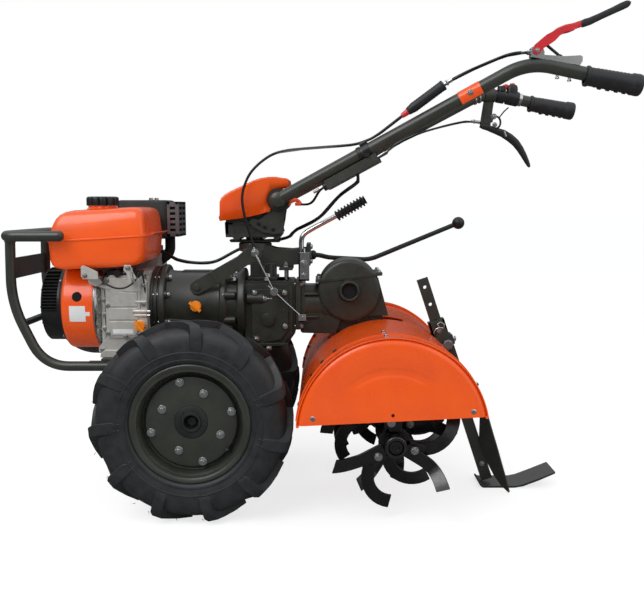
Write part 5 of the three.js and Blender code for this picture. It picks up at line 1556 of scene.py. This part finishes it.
@asPiece("head", "orange", "bakedOrangeEnamel", ["head_cover"], bevel=5, segments=4, sharp=40)
def headCover(bm):  # pressed shell, open below, cut round at the handlebar's pivot
    half = head["coverHalf"]
    under = [(-48, 721.5), (-62, 723.4), (-112, 729.5), (-150, 738), (-179, 746)]
    opening = arc(head["tiltX"], head["tiltZ"], 30, -48, 60, 18)
    back = [(-205, 806), (-227, 812), (-229.5, 817), (-228, 827), (-224, 831), (-210, 832)]
    crown = [(-196, 834.6), (-176, 834.6), (-156, 831.6), (-136, 825.4), (-116, 816), (-95, 806.4),
             (-76, 797.6),
             (-62, 789), (-53, 780), (-49, 770)]
    outline = under + opening + back + crown
    near = [bm.verts.new((x, half, z)) for x, z in outline]
    far = [bm.verts.new((x, -half, z)) for x, z in outline]
    bm.faces.new(near)
    bm.faces.new(list(reversed(far)))
    firstTop = len(under) + len(opening) + 1
    for k in range(firstTop, len(outline)):
        after = (k + 1) % len(outline)
        bm.faces.new((near[k], near[after], far[after], far[k]))


@asPiece("handlebar", "rubber", "gripPvc", sharp=30)
def pivotBushes(bm):
    for hand in (1, -1):
        addSpun(bm, [(16, 69), (29, 69), (29.4, 72), (28.4, 74.6), (22, 75.2), (16, 75.2), (16, 69)],
                (head["tiltX"], 0, head["tiltZ"]), (0, hand, 0), 40)


@asPiece("head", "steel", "zincPlate", bevel=0.3)
def headBolts(bm):
    for y in (-22, 22):
        addHexBolt(bm, (-47.6, y, 730), (1, 0, 0), head["boltSize"], 6)
    addHexBolt(bm, (-92, 30, 679), (0, 0, -1), 5, 5)
    addHexBolt(bm, (-160, 30, 679), (0, 0, -1), 5, 4.4)
    addHexBolt(bm, (-160, -30, 679), (0, 0, -1), 5, 4.4)


shell = headCover.modifiers.new("wall", "SOLIDIFY")
shell.thickness, shell.offset = head["coverWall"] * metres, -1
print("head ready")

# handlebar
bar = {"radius": 16, "spreaderX": -430}
tubePath = bendPath([(-201, 96, 776), (-789, 255, 1090), (-1042, 258, 1037)], 56, 18)


def onTube(x):  # the left tube's middle line at a given x
    for here, after in zip(tubePath, tubePath[1:]):
        if after.x <= x <= here.x:
            return here.lerp(after, (here.x - x) / (here.x - after.x))
    return tubePath[-1].copy()


def along(x):
    return (onTube(x - 4) - onTube(x + 4)).normalized()


def mirrorY(place):
    return Vector((place.x, -place.y, place.z))


@asPiece("handlebar", "charcoal", "charcoalEnamel", ["handlebar_frame"], bevel=0.5)
def handlebarTubes(bm):
    for hand in (1, -1):
        addTube(bm, [Vector((p.x, hand * p.y, p.z)) for p in tubePath], bar["radius"], 32)
        pivot = (head["tiltX"], 0, head["tiltZ"])
        addSpun(bm, [(14, 76.4), (19.4, 76.4), (20, 77), (20, 106), (18, 111), (12, 114), (0, 115)], pivot,
                (0, hand, 0), 36)
    outline = [(-219, 772), (-216, 745), (-213, 722), (-208, 700), (-210, 692), (-205, 688), (-186, 689.5),
               (-160, 697),
               (-140, 710), (-127, 722), (-131, 729), (-150, 724), (-162, 732), (-176, 748), (-184, 760),
               (-184, 780), (-200, 797), (-216, 790)]
    strip = [(-209, 700), (-211, 691), (-186, 686.6), (-158, 693), (-136, 705.4), (-124, 718), (-129, 724),
             (-142, 712), (-161, 701.6), (-186, 695)]
    addPlates(bm, outline, 59.4, 63.6)
    addPlates(bm, strip, 63.6, 66.4)
    addRod(bm, (head["tiltX"], -96, head["tiltZ"]), (head["tiltX"], 96, head["tiltZ"]), 14, sides=32)
    x = bar["spreaderX"]
    addRod(bm, (x, -158, 902), (x, 158, 902), 11, sides=28)


@asPiece("handlebar", "charcoal", "darkHollow")
def handlebarSectorHoleShade(bm):
    # painted shade: near-black discs in the sector plates' holes standing in for their dark insides
    for hand in (1, -1):
        for x, z in ((-149, 713), (-165, 704.5), (-187, 698.5)):
            low, high = sorted((hand * 58.8, hand * 66.9))
            addRod(bm, (x, low, z), (x, high, z), 4.8, sides=24)


@asPair("handlebar", "rubber", "gripPvc", ["hand_grip_{end}"], bevel=0.4)
def handGrip(bm):  # moulded sleeve with two collars and finger ridges underneath
    start, end = Vector((-920, 257, 1058)), Vector((-1052, 258, 1035))
    run = (end - start).normalized()
    profile = [(17.4, 0), (22, 0), (23.6, 1.2), (24, 3), (24, 6), (23, 8), (21.4, 9.5), (21.2, 20)]
    profile += [(21.3 + 0.9 * (1 if k % 2 else 0) + k * 0.06, 22 + k * 4.4) for k in range(19)]
    profile += [(23.4, 106), (25, 109), (25.4, 112), (24.6, 114.6), (25.2, 117), (25.4, 124), (24.6, 128.6),
                (22, 131.6),
                (16, 133.2), (0, 133.6)]
    addSpun(bm, profile, start, run, 44)
    side = run.cross(Vector((0, 1, 0))).normalized()
    side = side if side.z < 0 else -side
    for down in (38, 58, 78, 96):
        addRod(bm, start + run * (down - 4) + side * 19, start + run * (down + 4) + side * 20, 6.4, 5.4,
               sides=20)


print("handlebar ready")

# hand controls
control = {"leverY": 255, "farY": -253, "boltSize": 4.6}


# a rounded strip along (x, z, half thickness) points, from y0 to y1
def addRibbon(bm, points, y0, y1):
    rings = []
    for i, (x, z, half) in enumerate(points):
        x0, z0, _ = points[max(i - 1, 0)]
        x1, z1, _ = points[min(i + 1, len(points) - 1)]
        up = Vector((-(z1 - z0), 0, x1 - x0)).normalized()
        middle, halfWidth = Vector((x, (y0 + y1) / 2, z)), (y1 - y0) / 2
        rings.append([middle + up * half * math.sin(a) * min(1, 1.25 - 0.25 * abs(math.cos(a)))
                      + Vector((0, halfWidth * math.copysign(abs(math.cos(a)) ** 0.5, math.cos(a)), 0))
                      for a in (math.tau * k / 20 for k in range(20))])
    addLoft(bm, rings)


@asPiece("handlebar", "steel", "zincPlate", ["clutch_lever_bracket"], bevel=0.4)
def clutchLeverBracket(bm):
    y = control["leverY"]
    side = [(-792, 1099), (-793, 1121), (-800, 1123), (-818, 1122), (-823, 1112), (-823, 1104), (-868, 1101),
            (-906, 1103),
            (-911, 1100), (-911, 1090), (-905, 1080)]
    addPlates(bm, side, 8, 10.4, y)
    addPlate(bm, [(-792, 1099), (-792.2, 1101.4), (-905, 1082.4), (-905, 1080)], y - 9, y + 9)
    addBlock(bm, (-794, y - 9, 1100), (-792, y + 9, 1119))


@asPiece("handlebar", "steel", "zincPlate", bevel=0.3)
def clutchLeverBolts(bm):
    y = control["leverY"]
    addHexBolt(bm, (-805, y + 12.8, 1113), (0, 1, 0), control["boltSize"], 3.6)
    addHexBolt(bm, (-805, y - 12.8, 1113), (0, -1, 0), control["boltSize"], 3.6)
    addRod(bm, (-805, y - 10, 1113), (-805, y + 10, 1113), 3.6, sides=16)
    addRod(bm, (-786, y - 2, 1110.6), (-772, y - 3, 1111.6), 4, 3.4, sides=16)
    addRod(bm, (-792, y - 2, 1110.6), (-786, y - 2, 1110.8), 5.6, sides=6)
    for x in (-856, -884):
        place = onTube(x) + Vector((0, 0, -15.6))
        addRod(bm, place, place + Vector((0, 0, -7)), 3.2, sides=14)
        addRod(bm, place + Vector((0, 0, -5)), place + Vector((0, 0, -9)), 5, sides=6)


@asPiece("handlebar", "redPlastic", "dippedRedVinyl", ["clutch_lever"], bevel=0.6, sharp=45)
def clutchLever(bm):  # pressed steel lever in a thick coat
    y = control["leverY"]
    addRibbon(bm, [(-830, 1139, 3), (-842, 1150, 6), (-856, 1159, 7.4), (-872, 1166, 7), (-890, 1169, 7.4),
                   (-906, 1174.6, 7.4), (-918, 1179, 7)],
              y - 6.6, y + 6.6)
    cheekOutline = [(-796, 1110), (-800, 1105), (-806, 1103.6), (-811, 1105.6), (-822, 1120), (-832, 1126),
                    (-846, 1135),
                    (-858, 1148), (-868, 1154), (-882, 1157), (-896, 1163), (-898, 1171), (-880, 1171.4),
                    (-855, 1163),
                    (-827, 1149), (-806, 1131), (-797, 1120)]
    addPlates(bm, cheekOutline, 10.6, 12.8, y)
    addPlate(bm, [(-806, 1131), (-827, 1149), (-855, 1163), (-880, 1171.4), (-898, 1171), (-898, 1168.6),
                  (-880, 1169),
                  (-856, 1160.4), (-828, 1146.6), (-808, 1129.4)], y - 12, y + 12)


@asPiece("handlebar", "rubber", "gripPvc", sharp=60)
def clutchLeverGrip(bm):
    y = control["leverY"]
    addRibbon(bm, [(-906, 1172, 4), (-908, 1173.4, 7.6), (-916, 1177, 8.8), (-926, 1180, 8.4),
                   (-950, 1191, 7.6),
                   (-980, 1204.6, 7.8), (-1000, 1214, 8.4), (-1010, 1218.4, 8), (-1015, 1220.6, 5.6),
                   (-1017, 1221.4, 2)],
              y - 8, y + 8)


@asPiece("handlebar", "blackPlastic", "mouldedBlackNylon", bevel=0.4)
def clutchLeverStrut(bm):
    y = control["leverY"]
    addRod(bm, (-829, y, 1128), (-868, y, 1097), 3.4, sides=16)
    addRod(bm, (-860, y, 1103.6), (-869, y, 1096.4), 4.6, sides=16)


def clampRing(bm, x0, x1, radius):  # round the right tube
    start, end = mirrorY(onTube(x0)), mirrorY(onTube(x1))
    run = (end - start).normalized()
    width = (end - start).length
    addSpun(bm, [(16.2, 0), (radius - 0.8, 0), (radius, 0.8), (radius, width - 0.8), (radius - 0.8, width),
                 (16.2, width),
                 (16.2, 0)], start, run, 40)


@asPiece("handlebar", "blackPlastic", "mouldedBlackNylon", ["kill_switch"], bevel=0.5)
def killSwitch(bm):
    middle = mirrorY(onTube(-868))
    clampRing(bm, -852, -886, 21)
    rings = []
    for rise, x, y in ((8, 15, 14), (18, 15.5, 14), (26, 15.5, 13), (32, 14.5, 12), (36, 12, 10), (38, 8, 7)):
        rings.append([middle + Vector((x * math.copysign(abs(math.cos(a)) ** 0.6, math.cos(a)), 4
                                       + y * math.copysign(abs(math.sin(a)) ** 0.6, math.sin(a)), rise))
                      for a in (math.tau * k / 28 for k in range(28))])
    addLoft(bm, rings)


@asPiece("handlebar", "redPlastic", "dippedRedVinyl", bevel=1)
def killButton(bm):
    middle = mirrorY(onTube(-868)) + Vector((0, 4, 0))
    addRod(bm, middle + Vector((0, 0, 37)), middle + Vector((0, 0, 42)), 7.4, 6.6, sides=28)


@asPiece("handlebar", "blackPlastic", "mouldedBlackNylon", bevel=0.6)
def throttleClamp(bm):
    clampRing(bm, -824, -846, 21)
    place = mirrorY(onTube(-835))
    addRod(bm, place + Vector((0, 10, 12)), place + Vector((0, 10, 26)), 12, 11, sides=28)


@asPiece("handlebar", "redPlastic", "dippedRedVinyl", ["throttle_lever"], sharp=60)
def throttleLever(bm):
    y = control["farY"]
    addRibbon(bm, [(-784, 1086, 2), (-788, 1088, 5), (-800, 1092, 6.6), (-816, 1091, 5.4),
                   (-828, 1092.6, 5.6),
                   (-838, 1098, 7.6), (-846, 1104, 8.4), (-852, 1108, 6.6), (-855, 1110, 2.4)], y - 6, y + 6)


@asPiece("handlebar", "castAluminium", "charcoalCasting", ["steering_lever_bracket"], bevel=0.8)
def steeringBracket(bm):
    y = control["farY"]
    clampRing(bm, -786, -816, 21)
    addPlate(bm, [(-786, 1062), (-814, 1062), (-812, 1046), (-806, 994), (-801, 988), (-779, 992),
                  (-777, 998)], y - 8, y + 8)
    addPlate(bm, [(-789, 1050), (-806, 1050), (-800, 1000), (-785, 1000)], y + 7, y + 10)


@asPiece("handlebar", "blackPlastic", "mouldedBlackNylon", ["steering_lever"], sharp=60)
def steeringLever(bm):
    y = control["farY"]
    addRibbon(bm, [(-776, 992, 3), (-784, 991, 6.4), (-800, 988, 8.6), (-822, 980, 9.6), (-844, 972, 11.4),
                   (-864, 960, 12),
                   (-882, 945, 11.4), (-896, 927, 10), (-908, 907, 8.4), (-917, 890, 6.6), (-923, 878, 4.4),
                   (-925, 874, 1.6)],
              y - 7, y + 7)


@asPiece("handlebar", "steel", "zincPlate", bevel=0.3)
def steeringFittings(bm):
    y = control["farY"]
    for x, z, size in ((-815, 1020, 7), (-818, 996, 6)):
        addHexBolt(bm, (x, y + 8, z), (0, 1, 0), size, 4)
    addRod(bm, (-750, y + 2, 1007), (-775, y + 2, 1004), 4.4, 5, sides=18)
    addRod(bm, (-757, y + 2, 1006.4), (-761, y + 2, 1006), 6.4, sides=6)
    for x0, x1 in ((-752, -757), (-766, -771)):
        clampRing(bm, x0, x1, 18.6)
    addRod(bm, (-846, y + 6, 978), (-852, y + 6, 962), 3.6, sides=14)
    clampRing(bm, -886.6, -896, 18.4)


@asPiece("handlebar", "blackPlastic", "mouldedBlackNylon")
def steeringArm(bm):
    y = control["farY"]
    ring = [Vector((-822 + 13 * math.cos(a), y + 6, 1003 + 17 * math.sin(a))) for a in
            (math.tau * k / 30 for k in range(24))]
    addTube(bm, ring, 3, 12)
    addTube(bm, bendPath([(-832, y + 4, 1018), (-846, y + 4, 1036), (-858, y + 2, 1046)], 8, 4), 2, 10)


@asPiece("handlebar", "castAluminium", "charcoalEnamel", ["cable_box"], bevel=0.5)
def cableBox(bm):  # folded channel under the left tube
    front, rear = onTube(-313), onTube(-439)
    run = (rear - front).normalized()
    sideways = Vector((0, 0, 1)).cross(run).normalized()
    below = sideways.cross(run).normalized()
    below = below if below.z < 0 else -below
    length = (rear - front).length

    def corner(t, side, drop):
        return front + run * t + sideways * side + below * (16.6 + drop)

    def wall(t0, t1, outline):
        addLoft(bm, [[corner(t, s, d) for s, d in outline] for t in (t0, t1)])

    for side in (1, -1):
        wall(0, length, [(side * s, d) for s, d in ((14, 0), (14, 24), (12.4, 24), (12.4, 0))])
    wall(0, length, ((-14, 22.4), (14, 22.4), (14, 24), (-14, 24)))
    wall(8, length - 6, ((-13, 0), (13, 0), (13, 22.6), (-13, 22.6)))


@asPiece("handlebar", "blackPlastic", "mouldedBlackNylon", bevel=0.8)
def cableBoxEnd(bm):
    front, rear = onTube(-305), onTube(-321)
    run = (rear - front).normalized()
    below = Vector((0, 0, 1)).cross(run).normalized().cross(run).normalized()
    below = below if below.z < 0 else -below
    addRod(bm, front + below * 28.6, rear + below * 28.6, 10.5, sides=20)


@asPiece("handlebar", "steel", "zincPlate", bevel=0.3)
def cableFerrules(bm):
    front, rear = onTube(-292), onTube(-306)
    drop = Vector((0, 0, -31))
    addRod(bm, front + drop, rear + drop, 3.4, 4.4, sides=18)
    front, rear = onTube(-440), onTube(-466)
    addRod(bm, front + drop, rear + drop * 0.9, 4.4, 3.2, sides=18)
    addRod(bm, rear + drop * 0.9, onTube(-472) + drop * 0.9, 2, sides=12)


@asPiece("handlebar", "blackPlastic", "gripPvc", ["cable_adjuster"])
def cableAdjuster(bm):
    start, end = Vector((-603, 200, 1046)), Vector((-519, 190.8, 984.6))
    run = (end - start).normalized()
    length = (end - start).length
    addSpun(bm, [(4, 0), (12, 0), (12.8, 0.8), (12.8, 5)]
            + [(12.6 if k % 2 else 11.9, 6 + k * 3.1) for k in range(int((length - 22) / 3.1))]
            + [(12.2, length - 16), (10.6, length - 8), (9.4, length - 1), (8.8, length), (4, length)], start,
            run, 36)


@asPiece("handlebar", "redPlastic", "dippedRedVinyl", bevel=1)
def cableAdjusterEnd(bm):
    addRod(bm, (-519.4, 190.8, 984.8), (-505, 189, 974.4), 8, 6, sides=24)


@asPiece("handlebar", "steel", "zincPlate", bevel=0.3)
def cableAdjusterScrew(bm):
    addRod(bm, (-602, 200, 1045.6), (-622, 204.4, 1058), 4.8, sides=16)
    addRod(bm, (-608, 201, 1049.6), (-612, 202, 1052), 7.2, sides=6)


@asPiece("handlebar", "blackPlastic", "mouldedBlackNylon", bevel=0.4)
def tubeStrap(bm):  # two cable ties over the left tube and the cable
    for x in (-408, -424):
        middle, run = onTube(x), along(x)
        width = 5 if x == -408 else 9
        addSpun(bm, [(16.2, -width), (18.2, -width), (18.6, 0), (18.2, width), (16.2, width), (16.2, -width)],
                middle, run, 36)
    loop = onTube(-415) + Vector((2, 5, 21))
    addSpun(bm, [(3.6, -9), (6.4, -9), (6.8, 0), (6.4, 9), (3.6, 9), (3.6, -9)], loop, along(-415), 24)
    addBlock(bm, onTube(-422) + Vector((-6, 12, -16)), onTube(-422) + Vector((6, 20, -6)))


@asPiece("handlebar", "orange", "bakedOrangeEnamel", sharp=50)
def saddlePlate(bm):  # orange plate wrapped on the left tube
    rings = []
    steps = 18
    for k in range(7):
        x = -640 - 47 * k / 6
        middle, run = onTube(x), along(x)
        upright = (Vector((0, 0, 1)) - run * run.z).normalized()
        sideways = run.cross(upright)
        sideways = sideways if sideways.y > 0 else -sideways
        angles = [math.radians(-58 + 122 * a / steps) for a in range(steps + 1)]
        ring = [middle + (sideways * math.cos(a) + upright * math.sin(a)) * 18 for a in angles]
        ring += [middle + (sideways * math.cos(a) + upright * math.sin(a)) * 16.2 for a in reversed(angles)]
        rings.append(ring)
    addLoft(bm, rings)


@asPiece("handlebar", "steel", "zincPlate", bevel=0.3)
def saddleBolt(bm):
    place = onTube(-664)
    sideways = along(-664).cross(Vector((0, 0, 1))).normalized()
    sideways = sideways if sideways.y > 0 else -sideways
    addHexBolt(bm, place + sideways * 18, sideways, 5.6, 4.6)


@asPiece("head", "redPlastic", "bakedOrangeEnamel", ["release_lever"], bevel=0.5)
def releaseLever(bm):  # bent grip of the tilt lock
    addTube(bm, bendPath([(-223, 44, 764), (-232, 44, 772), (-246, 44, 777), (-256, 44, 768),
                          (-257, 44, 761)], 6, 5), 5, 18)
    addRoundBox(bm, -259, -243, 56, 32, ((760.6, 1.4, 3), (762, 0, 3), (768, 0, 3), (769.4, 1.4, 3)))


print("controls ready")

# control cables: each keeps its laid path; the ones between two bodies are baked where they lie and ride on
# no body
def cable(name, node, body):
    bm = nodeShape(node)
    bm.normal_update()
    crease = bm.edges.layers.float.new("crease_edge")
    for face in [f for f in bm.faces if len(f.verts) > 5]:
        for edge in face.edges:
            edge[crease] = 1
    for v in bm.verts:
        v.co += v.normal * 0.3
    piece = makePiece(name, bm, body, "blackPlastic", "cableSheath", [node], sharp=60, subdivide=1)
    bpy.context.view_layer.update()
    shaped = piece.evaluated_get(bpy.context.evaluated_depsgraph_get())
    piece.data = bpy.data.meshes.new_from_object(shaped)
    piece.modifiers.clear()
    return piece


cable("clutchCableOnBar", "clutch_cable_bar", "handlebar")
cable("steeringCable", "steering_cable", "handlebar")
cable("loomOnEngine", "loom_engine", "chassis")
for name, node, below, above, start, end in (
        ("clutchCableLower", "clutch_cable_lower", "chassis", "head", (-138, 87, 655), (-157, 97, 869)),
        ("clutchCableUpper", "clutch_cable_upper", "handlebar", "head", (-435, 166, 926), (-157, 98, 870)),
        ("loomLower", "loom_lower", "chassis", "head", (-217, -72, 678), (-257, 26, 702)),
        ("loomUpper", "loom_upper", "handlebar", "head", (-383, 155, 838), (-257, 26, 702)),
        ("lockCable", "lock_cable", "handlebar", "head", (-325, 132, 811), (-258, 48, 764))):
    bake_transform(cable(name, node, None))
print("cables ready")
